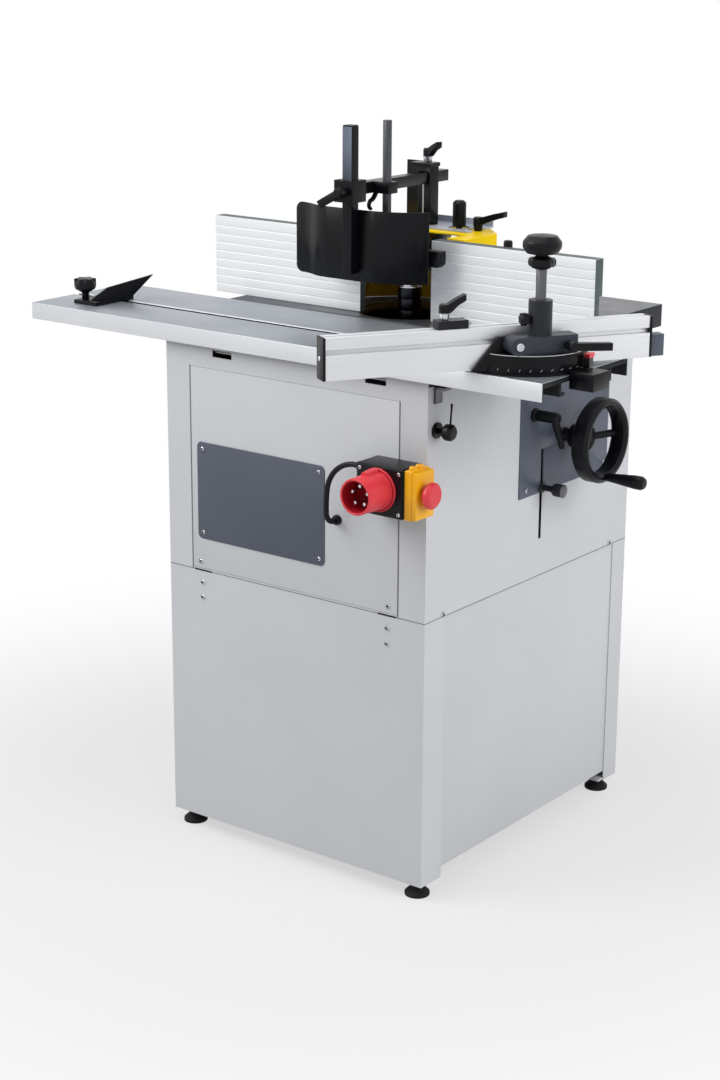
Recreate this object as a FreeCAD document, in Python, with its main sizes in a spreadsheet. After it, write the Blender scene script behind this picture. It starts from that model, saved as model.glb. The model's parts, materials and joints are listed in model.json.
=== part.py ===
import FreeCAD
import Part
import Sketcher
import math
import os

# Driving dimensions in millimetres, degrees or counts.
SIZES = (
    # Place of the cabinet in the frame
    ("cabinet_left", -239.243),
    ("cabinet_front", -207.159),
    ("overrun", 5.0),
    # Sheet cabinet
    ("cabinet_width", 511.0),
    ("cabinet_depth", 586.0),
    ("sheet_thick", 2.0),
    ("lower_height", 433.0),
    ("upper_height", 362.0),
    ("front_lip", 8.0),
    ("return_front", 53.0),
    ("return_back", 40.0),
    ("panel_lap", 12.0),
    ("panel_lift", 16.0),
    ("flange_width", 25.0),
    ("corner_plate", 52.0),
    ("corner_thick", 4.0),
    ("cover_left", 48.0),
    ("cover_right", 49.0),
    ("cover_rise", 3.0),
    ("cover_height", 332.0),
    ("cover_gap", 0.4),
    ("notch_left", 97.0),
    ("notch_right", 76.0),
    ("notch_width", 39.0),
    ("notch_height", 11.0),
    ("notch_drop", 5.0),
    # Slate plates on the front and on the right side
    ("plate_thick", 1.5),
    ("front_plate_left", 62.6),
    ("front_plate_rise", 54.0),
    ("front_plate_right", 190.4),
    ("front_plate_height", 160.0),
    ("plate_corner", 9.0),
    ("side_plate_ahead", 74.0),
    ("side_plate_rise", 139.0),
    ("side_plate_width", 265.0),
    ("side_plate_height", 188.0),
    # Feet
    ("foot_height", 25.0),
    ("foot_radius", 20.0),
    ("foot_disc", 5.0),
    ("foot_neck", 7.0),
    ("foot_shoulder", 17.0),
    ("foot_stud", 5.0),
    ("foot_stud_length", 18.0),
    ("foot_inset", 24.0),
    ("stud_clearance", 0.3),
    # Screws
    ("screw_radius", 4.2),
    ("screw_crown", 2.6),
    ("screw_head", 2.4),
    ("plate_screw_inset", 11.0),
    ("cover_screw_inset", 19.0),
    ("cover_screw_drop", 8.0),
    ("frame_screw_inset", 70.0),
    ("frame_screw_drop", 20.0),
    ("frame_screw_step", 25.0),
    ("seam_screw_front", 46.0),
    ("seam_screw_back", 55.0),
    # Cast table
    ("table_thick", 37.0),
    ("table_over_left", 54.0),
    ("table_over_right", 26.0),
    ("table_over_back", 45.0),
    ("table_plate", 12.0),
    ("table_rim", 14.0),
    ("table_hole", 79.0),
    ("ring_step", 6.0),
    ("ring_depth", 5.0),
    # Sliding table and its rail
    ("slide_left", -285.0),
    ("slide_length", 1000.0),
    ("slide_front", -15.0),
    ("slide_gap", 0.5),
    ("slide_thick", 27.0),
    ("deck_thick", 8.0),
    ("skirt_thick", 4.0),
    ("slot_inset", 105.0),
    ("slot_width", 10.0),
    ("slot_head", 18.0),
    ("slot_neck", 5.0),
    ("slot_depth", 11.0),
    ("slot_wall", 3.0),
    ("rail_front", 36.0),
    ("rail_width", 130.0),
    ("rail_flange", 6.0),
    ("rail_web", 60.0),
    ("slide_clearance", 0.3),
    ("hook_thick", 5.0),
    ("hook_reach", 9.0),
    ("hook_gap", 1.5),
    # Table lock on the right wall
    ("lock_back", 22.0),
    ("lock_drop", 67.0),
    ("lock_stem", 4.0),
    ("lock_bush", 12.0),
    ("lock_bush_thick", 4.0),
    ("lock_stand", 13.0),
    ("lock_knob_radius", 12.5),
    ("lock_knob_length", 18.0),
    ("lock_tail", 14.0),
    ("lock_bracket_width", 16.0),
    ("lock_bracket_depth", 20.0),
    ("lock_bracket_height", 26.0),
    ("lock_bracket_wall", 5.0),
    ("running_gap", 0.05),
    # Spindle unit
    ("spindle_across", 243.0),
    ("arbor_radius", 15.0),
    ("arbor_rise", 95.0),
    ("ring_radius", 19.5),
    ("ring_rise", 40.0),
    ("ring_start", 17.0),
    ("ring_count", 3),
    ("ring_line", 0.6),
    ("shaft_radius", 17.5),
    ("flinger_radius", 26.0),
    ("flinger_thick", 12.0),
    ("housing_radius", 45.0),
    ("housing_drop", 57.0),
    ("housing_length", 160.0),
    ("bearing_radius", 31.0),
    ("bearing_width", 16.0),
    ("bearing_inset", 5.0),
    ("pulley_seat", 14.0),
    ("pulley_width", 26.0),
    ("pulley_gap", 3.0),
    ("pulley_flange", 3.0),
    ("pulley_lip", 3.0),
    ("spindle_pulley_radius", 36.0),
    ("motor_pulley_radius", 62.0),
    ("belt_thick", 3.0),
    ("belt_gap", 0.3),
    ("belt_side_gap", 1.0),
    ("motor_length", 270.0),
    ("motor_shaft", 12.0),
    ("motor_shaft_depth", 40.0),
    ("fan_cover_length", 55.0),
    ("fan_cover_step", 6.0),
    ("terminal_width", 90.0),
    ("terminal_depth", 100.0),
    ("terminal_height", 70.0),
    ("fin_count", 16),
    ("fin_depth", 6.0),
    ("fin_width", 12.0),
    ("motor_plate_thick", 12.0),
    ("motor_plate_over", 84.0),
    # Columns, carriage and lift
    ("column_spread", 110.0),
    ("column_radius", 15.0),
    ("column_rise", 22.0),
    ("tie_height", 25.0),
    ("tie_front", 24.0),
    ("tie_over", 25.0),
    ("boss_radius", 28.0),
    ("boss_drop", 267.0),
    ("boss_length", 170.0),
    ("web_thick", 40.0),
    ("web_gap", 5.0),
    ("web_height", 105.0),
    ("nut_drop", 89.0),
    ("nut_thick", 18.0),
    ("nut_wall", 14.0),
    ("screw_across", 87.0),
    ("screw_rod", 10.0),
    ("thread_gap", 0.3),
    ("screw_journal", 8.0),
    ("screw_collar", 14.0),
    ("screw_collar_thick", 6.0),
    ("screw_drop", 22.0),
    ("screw_hole", 16.0),
    ("gear_radius", 22.0),
    ("gear_face", 10.0),
    ("gear_hub", 8.0),
    ("gear_gap", 0.4),
    ("upright_across", 152.0),
    ("upright_thick", 20.0),
    ("upright_side", 13.0),
    ("upright_over", 21.0),
    ("lock_arm_half", 10.0),
    ("lock_arm_gap", 6.0),
    # Handwheel
    ("wheel_rise", 221.0),
    ("wheel_shaft", 10.0),
    ("wheel_stand", 51.0),
    ("wheel_radius", 68.0),
    ("wheel_width", 30.0),
    ("wheel_rim", 14.0),
    ("rim_chamfer", 5.0),
    ("wheel_hub", 19.0),
    ("wheel_hub_length", 30.0),
    ("wheel_dish", 20.0),
    ("spoke_radius", 6.0),
    ("spoke_count", 3),
    ("spoke_start", 30.0),
    ("wall_hole_gap", 1.0),
    ("crank_offset", 58.0),
    ("crank_length", 68.0),
    ("crank_neck", 7.0),
    ("crank_grip", 11.0),
    ("crank_end", 8.0),
    ("crank_pin", 4.0),
    ("crank_pin_length", 55.0),
    ("crank_gap", 0.4),
    # Height lock knob in its slot
    ("height_lock_ahead", 8.0),
    ("height_lock_drop", 252.0),
    ("height_slot_drop", 337.0),
    ("height_slot_under", 189.0),
    ("height_slot_half", 3.6),
    ("height_stud", 3.0),
    ("height_washer", 9.0),
    ("height_washer_thick", 2.5),
    ("height_neck", 5.0),
    ("height_neck_length", 16.0),
    ("height_knob", 10.5),
    ("height_knob_length", 22.0),
    # Switch box, inlet and switch on the front
    ("box_right", 92.0),
    ("box_width", 86.0),
    ("box_depth", 50.0),
    ("box_height", 76.0),
    ("box_rise", 172.0),
    ("box_corner", 4.0),
    ("inlet_across", 41.0),
    ("inlet_rise", 40.0),
    ("inlet_flange", 33.0),
    ("inlet_flange_thick", 6.0),
    ("inlet_radius", 28.5),
    ("inlet_mouth", 27.5),
    ("inlet_length", 57.0),
    ("inlet_bore", 24.0),
    ("inlet_depth", 38.0),
    ("pin_circle", 14.5),
    ("pin_radius", 2.6),
    ("pin_length", 27.0),
    ("pin_count", 5),
    ("module_thick", 13.0),
    ("module_front", 48.0),
    ("module_width", 45.0),
    ("module_trim", 1.0),
    ("flap_gap", 0.3),
    ("flap_thick", 8.0),
    ("flap_inset", 2.0),
    ("button_radius", 20.0),
    ("button_thick", 14.0),
    ("button_stem", 8.0),
    ("button_stand", 5.0),
    ("button_crown", 4.0),
    ("button_rise", 38.0),
    ("cable_radius", 4.25),
    ("gland_radius", 8.0),
    ("gland_nose", 6.0),
    ("gland_length", 17.0),
    ("box_gland_out", 25.0),
    ("box_gland_rise", 62.0),
    ("cable_drop", 100.0),
    # Mitre gauge and bar
    ("pivot_inset", 91.0),
    ("pivot_back", 95.0),
    ("disc_radius", 90.0),
    ("disc_thick", 3.0),
    ("disc_pin", 6.0),
    ("swivel_gap", 0.3),
    ("swivel_thick", 2.2),
    ("segment_thick", 24.0),
    ("gusset_foot", 102.0),
    ("gusset_head", 64.0),
    ("gusset_length", 72.0),
    ("gusset_height", 47.0),
    ("gusset_thick", 7.0),
    ("bar_angle", 58.3),
    ("bar_out", 40.0),
    ("bar_before", 320.0),
    ("bar_length", 500.0),
    ("bar_thick", 26.0),
    ("bar_height", 60.0),
    ("bar_lift", 0.4),
    ("bar_gap", 0.3),
    ("groove_drop", 17.0),
    ("groove_height", 7.0),
    ("groove_depth", 8.0),
    ("ledge_depth", 1.2),
    ("cap_thick", 4.0),
    ("shoe_length", 22.0),
    ("shoe_height", 32.0),
    ("shoe_inset", 4.0),
    ("arm_before", 58.0),
    ("arm_length", 103.0),
    ("arm_out", 38.0),
    ("arm_width", 30.0),
    ("arm_height", 26.0),
    ("tongue_before", 20.0),
    ("tongue_length", 40.0),
    ("tongue_rise", 10.0),
    ("tongue_height", 16.0),
    ("socket_along", -8.0),
    ("socket_radius", 17.0),
    ("socket_height", 50.0),
    ("hold_radius", 7.5),
    ("hold_rise", 43.0),
    ("hold_depth", 70.0),
    ("hold_collar", 18.0),
    ("hold_collar_height", 18.0),
    ("hold_neck", 9.0),
    ("hold_neck_height", 4.0),
    ("hold_grip", 27.5),
    ("hold_grip_height", 27.0),
    ("pointer_length", 40.0),
    ("pointer_width", 44.0),
    ("pointer_back", 70.0),
    ("pointer_height", 25.0),
    ("gauge_lever_along", 30.0),
    ("gauge_lever_rise", 12.0),
    ("stop_before", 152.0),
    ("stop_length", 46.0),
    ("stop_height", 12.0),
    ("stop_inset", 2.0),
    ("stop_key", 5.0),
    ("top_slot_inset", 10.0),
    ("top_slot_width", 7.0),
    ("top_slot_depth", 9.0),
    ("stop_lever_along", 13.0),
    # Clamp levers
    ("lever_hub", 8.0),
    ("lever_hub_height", 20.0),
    ("lever_length", 52.0),
    ("short_lever_length", 31.0),
    ("lever_rise", 16.0),
    ("lever_thick", 9.0),
    ("lever_width", 11.0),
    ("lever_gap", 0.3),
    # End shoe on the sliding table
    ("shoe_left", 60.0),
    ("shoe_foot_length", 50.0),
    ("shoe_foot_width", 90.0),
    ("shoe_foot_thick", 6.0),
    ("shoe_foot_front", 38.0),
    ("shoe_fin_thick", 4.0),
    ("shoe_fin_foot", 78.0),
    ("shoe_fin_reach", 125.0),
    ("shoe_fin_height", 40.0),
    ("shoe_fin_back", 40.0),
    ("shoe_fin_low", 25.0),
    ("shoe_fin_angle", 70.0),
    ("shoe_knob_radius", 17.0),
    ("shoe_knob_height", 34.0),
    ("shoe_knob_stem", 6.0),
    ("shoe_knob_gap", 0.3),
    ("shoe_key_drop", 4.0),
    # Fence
    ("fence_ahead", 63.0),
    ("fence_height", 129.0),
    ("fence_thick", 22.0),
    ("fence_low_thick", 14.0),
    ("fence_step", 72.0),
    ("fence_lift", 0.5),
    ("left_plate_length", 308.0),
    ("right_plate_length", 300.0),
    ("left_plate_gap", 53.0),
    ("right_plate_gap", 87.0),
    ("fence_groove", 1.6),
    ("fence_groove_pitch", 14.0),
    ("fence_groove_count", 8),
    ("carrier_gap", 0.4),
    ("carrier_thick", 8.0),
    ("carrier_left", 240.0),
    ("carrier_right", 260.0),
    ("carrier_height", 112.0),
    ("window_half", 95.0),
    ("hood_half", 129.0),
    ("hood_depth", 145.0),
    ("hood_corner", 54.0),
    ("hood_height", 130.0),
    ("hood_wall", 3.0),
    ("hood_roof_inset", 44.0),
    ("outlet_radius", 50.0),
    ("outlet_wall", 3.0),
    ("outlet_length", 60.0),
    ("outlet_rise", 70.0),
    ("outlet_flange", 62.0),
    ("outlet_flange_thick", 5.0),
    ("fence_lever_across", 89.0),
    ("fence_lever_back", 63.0),
    ("adjust_across", 52.0),
    ("adjust_radius", 11.0),
    ("adjust_height", 46.0),
    ("adjust_stem", 5.0),
    ("adjust_round", 4.0),
    # Hand guard
    ("post_across", -12.0),
    ("post_back", 63.0),
    ("post_width", 24.0),
    ("post_depth", 22.0),
    ("back_plate_left", 50.0),
    ("back_plate_thick", 3.0),
    ("post_rise", 233.0),
    ("arm_rise", 209.0),
    ("guard_arm_side", 18.0),
    ("guard_arm_behind", 46.0),
    ("guard_arm_gap", 0.3),
    ("clamp_left", 22.0),
    ("clamp_width", 36.0),
    ("clamp_height", 34.0),
    ("clamp_ahead", 13.0),
    ("clamp_behind", 22.0),
    ("tube_across", 0.5),
    ("tube_ahead", 223.0),
    ("tube_side", 18.0),
    ("tube_wall", 2.0),
    ("tube_low", 81.0),
    ("tube_high", 308.0),
    ("guard_rise", 68.0),
    ("guard_reach", 180.0),
    ("guard_thick", 3.0),
    ("guard_left", 130.0),
    ("guard_right", 112.0),
    ("guard_corner", 12.0),
    ("guard_flat_left", 53.0),
    ("guard_flat_right", 18.0),
    ("guard_sweep", 43.0),
    ("guard_curl", 19.0),
    ("rod_across", 16.0),
    ("rod_ahead", 86.0),
    ("rod_radius", 7.0),
    ("rod_high", 313.0),
    ("rod_lug", 12.0),
    ("press_left", 14.0),
    ("press_right", 110.0),
    ("press_side", 7.5),
    ("press_rise", 93.0),
    ("press_height", 25.5),
    ("press_round", 6.0),
    ("press_floor", 5.0),
    ("post_lever_lean", -20.0),
    ("tube_lever_droop", 145.0),
)


class Length:
    """A size that carries its value and the expression that gives it."""

    def __init__(self, text, value):
        self.text = text
        self.value = value

    def __add__(self, other):
        other = as_length(other)
        return Length(f"({self.text} + {other.text})", self.value + other.value)

    def __sub__(self, other):
        other = as_length(other)
        return Length(f"({self.text} - {other.text})", self.value - other.value)

    def __mul__(self, other):
        other = as_length(other)
        return Length(f"({self.text} * {other.text})", self.value * other.value)

    def __truediv__(self, other):
        other = as_length(other)
        return Length(f"({self.text} / {other.text})", self.value / other.value)

    def __neg__(self):
        return Length(f"(0 - {self.text})", -self.value)

    __radd__ = __add__
    __rmul__ = __mul__

    def cos(self):
        return Length(f"cos({self.text} * 1 deg)", math.cos(math.radians(self.value)))

    def sin(self):
        return Length(f"sin({self.text} * 1 deg)", math.sin(math.radians(self.value)))


def as_length(item):
    """Return a plain number as a size, and a size as it is."""
    if isinstance(item, Length):
        return item
    return Length(repr(item), float(item))


class Cells:
    """The sheet's named cells, each read as a size."""

    def __init__(self, sheet):
        for row, (alias, size) in enumerate(SIZES, start=1):
            sheet.set(f"A{row}", alias)
            sheet.set(f"B{row}", str(size))
            sheet.setAlias(f"B{row}", alias)
            setattr(self, alias, Length(f"Sizes.{alias}", float(size)))


doc = FreeCAD.newDocument("spindle_moulder")
s = Cells(doc.addObject("Spreadsheet::Sheet", "Sizes"))
doc.recompute()

NODES = []
VERTICAL = FreeCAD.Vector(0, 0, 1)
UPRIGHT = FreeCAD.Rotation()
TURNS = {
    "z": UPRIGHT,
    "-z": FreeCAD.Rotation(FreeCAD.Vector(1, 0, 0), 180),
    "x": FreeCAD.Rotation(FreeCAD.Vector(0, 1, 0), 90),
    "y": FreeCAD.Rotation(FreeCAD.Vector(1, 0, 0), -90),
    "-y": FreeCAD.Rotation(FreeCAD.Vector(1, 0, 0), 90),
}


def bind(thing, name, size):
    """Tie one property of an object to a size."""
    thing.setExpression(name, as_length(size).text)


def place(thing, x, y, z, turn=UPRIGHT):
    """Turn an object and tie its place to sizes."""
    thing.Placement = FreeCAD.Placement(FreeCAD.Vector(), turn)
    bind(thing, "Placement.Base.x", x)
    bind(thing, "Placement.Base.y", y)
    bind(thing, "Placement.Base.z", z)
    return thing


def box(x, y, z, length, width, height, turn=UPRIGHT):
    """Add a box from its low corner."""
    solid = doc.addObject("Part::Box", "Box")
    bind(solid, "Length", length)
    bind(solid, "Width", width)
    bind(solid, "Height", height)
    return place(solid, x, y, z, turn)


def rod(x, y, z, radius, length, axis="z"):
    """Add a cylinder from the middle of its first end."""
    solid = doc.addObject("Part::Cylinder", "Rod")
    bind(solid, "Radius", radius)
    bind(solid, "Height", length)
    return place(solid, x, y, z, TURNS[axis])


def cone(x, y, z, first, last, length, axis="z"):
    """Add a cone from the middle of its first end."""
    solid = doc.addObject("Part::Cone", "Cone")
    bind(solid, "Radius1", first)
    bind(solid, "Radius2", last)
    bind(solid, "Height", length)
    return place(solid, x, y, z, TURNS[axis])


def cut(base, *tools):
    """Cut one object after another out of a base."""
    for tool in tools:
        result = doc.addObject("Part::Cut", "Cut")
        result.Base = base
        result.Tool = tool
        result.Refine = True
        base = result
    return base


def fuse(*parts):
    """Join objects into one solid."""
    result = doc.addObject("Part::MultiFuse", "Fuse")
    result.Shapes = list(parts)
    result.Refine = True
    return result


def group(*parts):
    """Keep separate solids together as one object."""
    result = doc.addObject("Part::Compound", "Group")
    result.Links = list(parts)
    return result


def node(label, thing):
    """Name an object as a sub-part of the machine."""
    thing.Label = label
    NODES.append(thing)
    return thing


def sketch_on(body, role, points, smooth=()):
    """Add a closed outline to a body, with every corner tied to sizes.

    A corner is a pair of sizes. A corner with a third entry is joined to the
    next one by an arc through that third point. At the corners numbered in
    smooth, one piece of outline runs on into the next without a kink.
    """
    sketch = body.newObject("Sketcher::SketchObject", "Outline")
    plane = next(item for item in body.Origin.OriginFeatures if item.Role == role)
    sketch.AttachmentSupport = [(plane, "")]
    sketch.MapMode = "FlatFace"
    corners = [tuple(as_length(part) for part in point[:2]) for point in points]
    spots = [FreeCAD.Vector(u.value, v.value, 0) for u, v in corners]
    count = len(points)
    for index, point in enumerate(points):
        here = spots[index]
        there = spots[(index + 1) % count]
        if len(point) > 2:
            u, v = (as_length(part).value for part in point[2])
            sketch.addGeometry(Part.Arc(here, FreeCAD.Vector(u, v, 0), there))
        else:
            sketch.addGeometry(Part.LineSegment(here, there))
    ends = [outline_ends(sketch, index, spots) for index in range(count)]
    for index in range(count):
        after = (index + 1) % count
        kind = "Tangent" if after in smooth else "Coincident"
        sketch.addConstraint(Sketcher.Constraint(kind, index, ends[index][1], after, ends[after][0]))
    for index, (u, v) in enumerate(corners):
        for kind, size in (("DistanceX", u), ("DistanceY", v)):
            fix = Sketcher.Constraint(kind, -1, 1, index, ends[index][0], size.value)
            bind(sketch, f"Constraints[{sketch.addConstraint(fix)}]", size)
    return sketch


def outline_ends(sketch, index, spots):
    """Return which ends of a piece of outline come first and last."""
    start = sketch.getPoint(index, 1)
    if start.distanceToPoint(spots[index]) < sketch.getPoint(index, 2).distanceToPoint(spots[index]):
        return 1, 2
    return 2, 1


def turned(profile, x, y, z, axis="z"):
    """Add a turned body from its radius and height pairs."""
    body = doc.addObject("PartDesign::Body", "Turned")
    add_turned(body, profile)
    return place(body, x, y, z, TURNS[axis])


def add_turned(body, profile):
    """Revolve an outline about a body's upright axis."""
    sketch = sketch_on(body, "XZ_Plane", profile)
    revolution = body.newObject("PartDesign::Revolution", "Revolution")
    revolution.Profile = sketch
    revolution.ReferenceAxis = (sketch, ["V_Axis"])
    revolution.Angle = 360
    body.Tip = revolution
    return revolution


def padded(role, points, length, x, y, z, turn=UPRIGHT, smooth=()):
    """Add a body padded from an outline."""
    body = doc.addObject("PartDesign::Body", "Padded")
    add_pad(body, role, points, length, smooth)
    return place(body, x, y, z, turn)


def add_pad(body, role, points, length, smooth=(), midplane=False):
    """Pad an outline in a body."""
    pad = body.newObject("PartDesign::Pad", "Pad")
    pad.Profile = sketch_on(body, role, points, smooth)
    pad.Midplane = midplane
    bind(pad, "Length", length)
    body.Tip = pad
    return pad


def round_edges(body, radius, chosen):
    """Round the edges of a body's last feature that a test picks."""
    doc.recompute()
    feature = body.Tip
    names = [f"Edge{place + 1}" for place, edge in enumerate(feature.Shape.Edges) if chosen(edge)]
    fillet = body.newObject("PartDesign::Fillet", "Rounding")
    fillet.Base = (feature, names)
    bind(fillet, "Radius", radius)
    body.Tip = fillet
    return body


def rectangle(width, height):
    """Return the corners of a rectangle from zero."""
    return [(0, 0), (width, 0), (width, height), (0, height)]


def runs_along(direction):
    """Return a test for straight edges in one direction."""
    def test(edge):
        if not isinstance(edge.Curve, Part.Line):
            return False
        return abs(edge.Curve.Direction.dot(direction)) > math.cos(math.radians(1))
    return test


def clamp_lever(label, x, y, z, turn, length):
    """Add a clamp lever: a hub with a rising flat arm."""
    body = doc.addObject("PartDesign::Body", "Lever")
    side_reach = length * lever_arm_share
    arm = [
        (0, s.lever_hub_height / 2),
        (s.lever_hub, s.lever_hub_height / 2),
        (side_reach, s.lever_hub_height / 2 + s.lever_rise * lever_arm_share),
        (length, s.lever_hub_height / 2 + s.lever_rise),
        (length, s.lever_hub_height / 2 + s.lever_rise + s.lever_thick),
        (side_reach, s.lever_hub_height + s.lever_rise * lever_arm_share),
        (0, s.lever_hub_height),
    ]
    hub = [
        (0, 0),
        (s.lever_hub * lever_foot_share, 0),
        (s.lever_hub, s.lever_hub_height / 2),
        (s.lever_hub, s.lever_hub_height),
        (s.lever_hub * lever_foot_share, s.lever_hub_height + s.lever_thick / 4),
        (0, s.lever_hub_height + s.lever_thick / 4),
    ]
    add_pad(body, "XZ_Plane", arm, s.lever_width, midplane=True)
    add_turned(body, hub)
    return node(label, place(body, x, y, z, turn))


lever_arm_share = 0.62
lever_foot_share = 0.8

# Shares of the cabinet's depth, and of the room behind the spindle
spindle_depth_share = 321 / 586
table_front_share = 217 / 586
motor_distance_share = 156 / 240
motor_radius_share = 1 / 3
screw_back_share = 59 / 240

# Main levels and places
left = s.cabinet_left
front = s.cabinet_front
right = left + s.cabinet_width
back = front + s.cabinet_depth
seam = s.foot_height + s.lower_height
cabinet_top = seam + s.upper_height
table_top = cabinet_top + s.table_thick
spindle_x = left + s.spindle_across
spindle_depth = s.cabinet_depth * spindle_depth_share
spindle_y = front + spindle_depth
table_front = s.cabinet_depth * table_front_share
cover_width = s.cabinet_width - s.cover_left - s.cover_right
front_plate_width = s.cabinet_width - s.front_plate_left - s.front_plate_right
slide_x = left + s.slide_left
slide_y = front + s.slide_front
slide_end = slide_x + s.slide_length
slide_width = table_front - s.slide_front - s.slide_gap
# The drive fills the room between the spindle and the back flange
drive_room = s.cabinet_depth - s.flange_width - spindle_depth
motor_distance = drive_room * motor_distance_share
motor_radius = drive_room * motor_radius_share
fan_cover_radius = motor_radius - s.fan_cover_step
screw_back = drive_room * screw_back_share
wheel_y = spindle_y + screw_back
wheel_z = seam + s.wheel_rise
column_foot = seam + s.column_rise
boss_foot = table_top - s.boss_drop
screw_top = table_top - s.screw_drop
lock_y = spindle_y - s.height_lock_ahead
lock_z = table_top - s.height_lock_drop
height_slot_low = table_top - s.height_slot_drop
height_slot_high = table_top - s.height_slot_under
box_foot = seam + s.box_rise
post_top = table_top + s.post_rise
arm_centre = table_top + s.arm_rise
tube_foot = table_top + s.tube_low
tube_top = table_top + s.tube_high
guard_low = table_top + s.guard_rise
guard_high = table_top + s.guard_reach
press_z = table_top + s.press_rise
rod_top = table_top + s.rod_high


def wall_ring(z, height, inset, width):
    """Add a level ring of flange along the cabinet walls."""
    span = s.cabinet_width - inset * 2
    depth = s.cabinet_depth - inset * 2
    outer = box(left + inset, front + inset, z, span, depth, height)
    hole_x = left + inset + width
    hole_y = front + inset + width
    hole = box(hole_x, hole_y, z - s.overrun, span - width * 2, depth - width * 2, height + s.overrun * 2)
    return cut(outer, hole)


def wall_tube(z, height):
    """Add the four sheet walls of a cabinet."""
    return wall_ring(z, height, as_length(0), s.sheet_thick)


def foot_places():
    """Return the four places of the feet."""
    xs = (left + s.foot_inset, right - s.foot_inset)
    ys = (front + s.foot_inset, back - s.foot_inset)
    return [(x, y) for x in xs for y in ys]


def make_lower_cabinet():
    """Make the wrapped lower frame and its side panels."""
    window_depth = s.cabinet_depth - s.return_front - s.return_back
    window = box(left - s.overrun, front + s.return_front, s.foot_height - s.overrun,
                 s.cabinet_width + s.overrun * 2, window_depth,
                 s.lower_height - s.sheet_thick + s.overrun)
    walls = cut(wall_tube(s.foot_height, s.lower_height), window)
    flange = wall_ring(seam - s.sheet_thick, s.sheet_thick, as_length(0), s.flange_width)
    corners = []
    for x in (left + s.sheet_thick, right - s.sheet_thick - s.corner_plate):
        for y in (front + s.sheet_thick, back - s.sheet_thick - s.corner_plate):
            corners.append(box(x, y, s.foot_height, s.corner_plate, s.corner_plate, s.corner_thick))
    holes = [rod(x, y, s.foot_height - s.overrun, s.foot_stud + s.stud_clearance,
                 s.corner_thick + s.overrun * 2) for x, y in foot_places()]
    node("lower_frame", cut(fuse(walls, flange, *corners), *holes))
    panel_y = front + s.return_front - s.panel_lap
    panel_depth = window_depth + s.panel_lap * 2
    panel_z = s.foot_height + s.panel_lift
    panel_height = s.lower_height - s.panel_lift - s.sheet_thick
    panels = [box(x, panel_y, panel_z, s.sheet_thick, panel_depth, panel_height)
              for x in (left + s.sheet_thick, right - s.sheet_thick * 2)]
    node("lower_side_panels", group(*panels))


def make_upper_cabinet():
    """Make the upper walls with their openings, and the front cover."""
    walls = wall_tube(seam, s.upper_height)
    lip = box(left, front, cabinet_top, s.cabinet_width, s.sheet_thick, s.front_lip)
    top = wall_ring(cabinet_top - s.sheet_thick, s.sheet_thick, as_length(0), s.flange_width)
    low = wall_ring(seam, s.sheet_thick, as_length(0), s.flange_width)
    shell = fuse(walls, lip, top, low)
    cover_z = seam + s.cover_rise
    through = s.sheet_thick + s.overrun * 2
    opening = box(left + s.cover_left, front - s.overrun, cover_z, cover_width, through, s.cover_height)
    notch_z = cabinet_top + s.front_lip - s.notch_drop - s.notch_height
    notch_xs = (left + s.notch_left, right - s.notch_right - s.notch_width)
    notches = [box(x, front - s.overrun, notch_z, s.notch_width, through, s.notch_height) for x in notch_xs]
    slot = box(right - s.sheet_thick - s.overrun, lock_y - s.height_slot_half, height_slot_low,
               through, s.height_slot_half * 2, height_slot_high - height_slot_low)
    inside = right - s.sheet_thick - s.overrun
    shaft_hole = rod(inside, wheel_y, wheel_z, s.wheel_shaft + s.wall_hole_gap, through, "x")
    bolt_hole = rod(inside, front + s.lock_back, cabinet_top - s.lock_drop,
                    s.lock_stem + s.running_gap, through, "x")
    node("upper_cabinet", cut(shell, opening, *notches, slot, shaft_hole, bolt_hole))
    node("front_cover", box(left + s.cover_left + s.cover_gap, front, cover_z + s.cover_gap,
                            cover_width - s.cover_gap * 2, s.sheet_thick, s.cover_height - s.cover_gap * 2))


def make_plates():
    """Make the two slate plates with rounded corners."""
    face = padded("XZ_Plane", rectangle(front_plate_width, s.front_plate_height), s.plate_thick,
                  left + s.front_plate_left, front, seam + s.front_plate_rise)
    round_edges(face, s.plate_corner, runs_along(FreeCAD.Vector(0, 1, 0)))
    side = padded("YZ_Plane", rectangle(s.side_plate_width, s.side_plate_height), s.plate_thick,
                  right, spindle_y - s.side_plate_ahead, seam + s.side_plate_rise)
    round_edges(side, s.plate_corner / 3, runs_along(FreeCAD.Vector(1, 0, 0)))
    through = s.plate_thick + s.overrun * 2
    slot = box(right - s.overrun, lock_y - s.height_slot_half, seam,
               through, s.height_slot_half * 2, height_slot_high - seam)
    hole = rod(right - s.overrun, wheel_y, wheel_z, s.wheel_shaft + s.wall_hole_gap, through, "x")
    node("cover_plates", group(face, cut(side, slot, hole)))


def make_feet():
    """Make the four levelling feet."""
    profile = [
        (0, 0),
        (s.foot_radius, 0),
        (s.foot_radius, s.foot_disc),
        (s.foot_neck, s.foot_shoulder),
        (s.foot_neck, s.foot_height),
        (s.foot_stud, s.foot_height),
        (s.foot_stud, s.foot_height + s.foot_stud_length),
        (0, s.foot_height + s.foot_stud_length),
    ]
    node("levelling_feet", group(*[turned(profile, x, y, 0) for x, y in foot_places()]))


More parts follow.
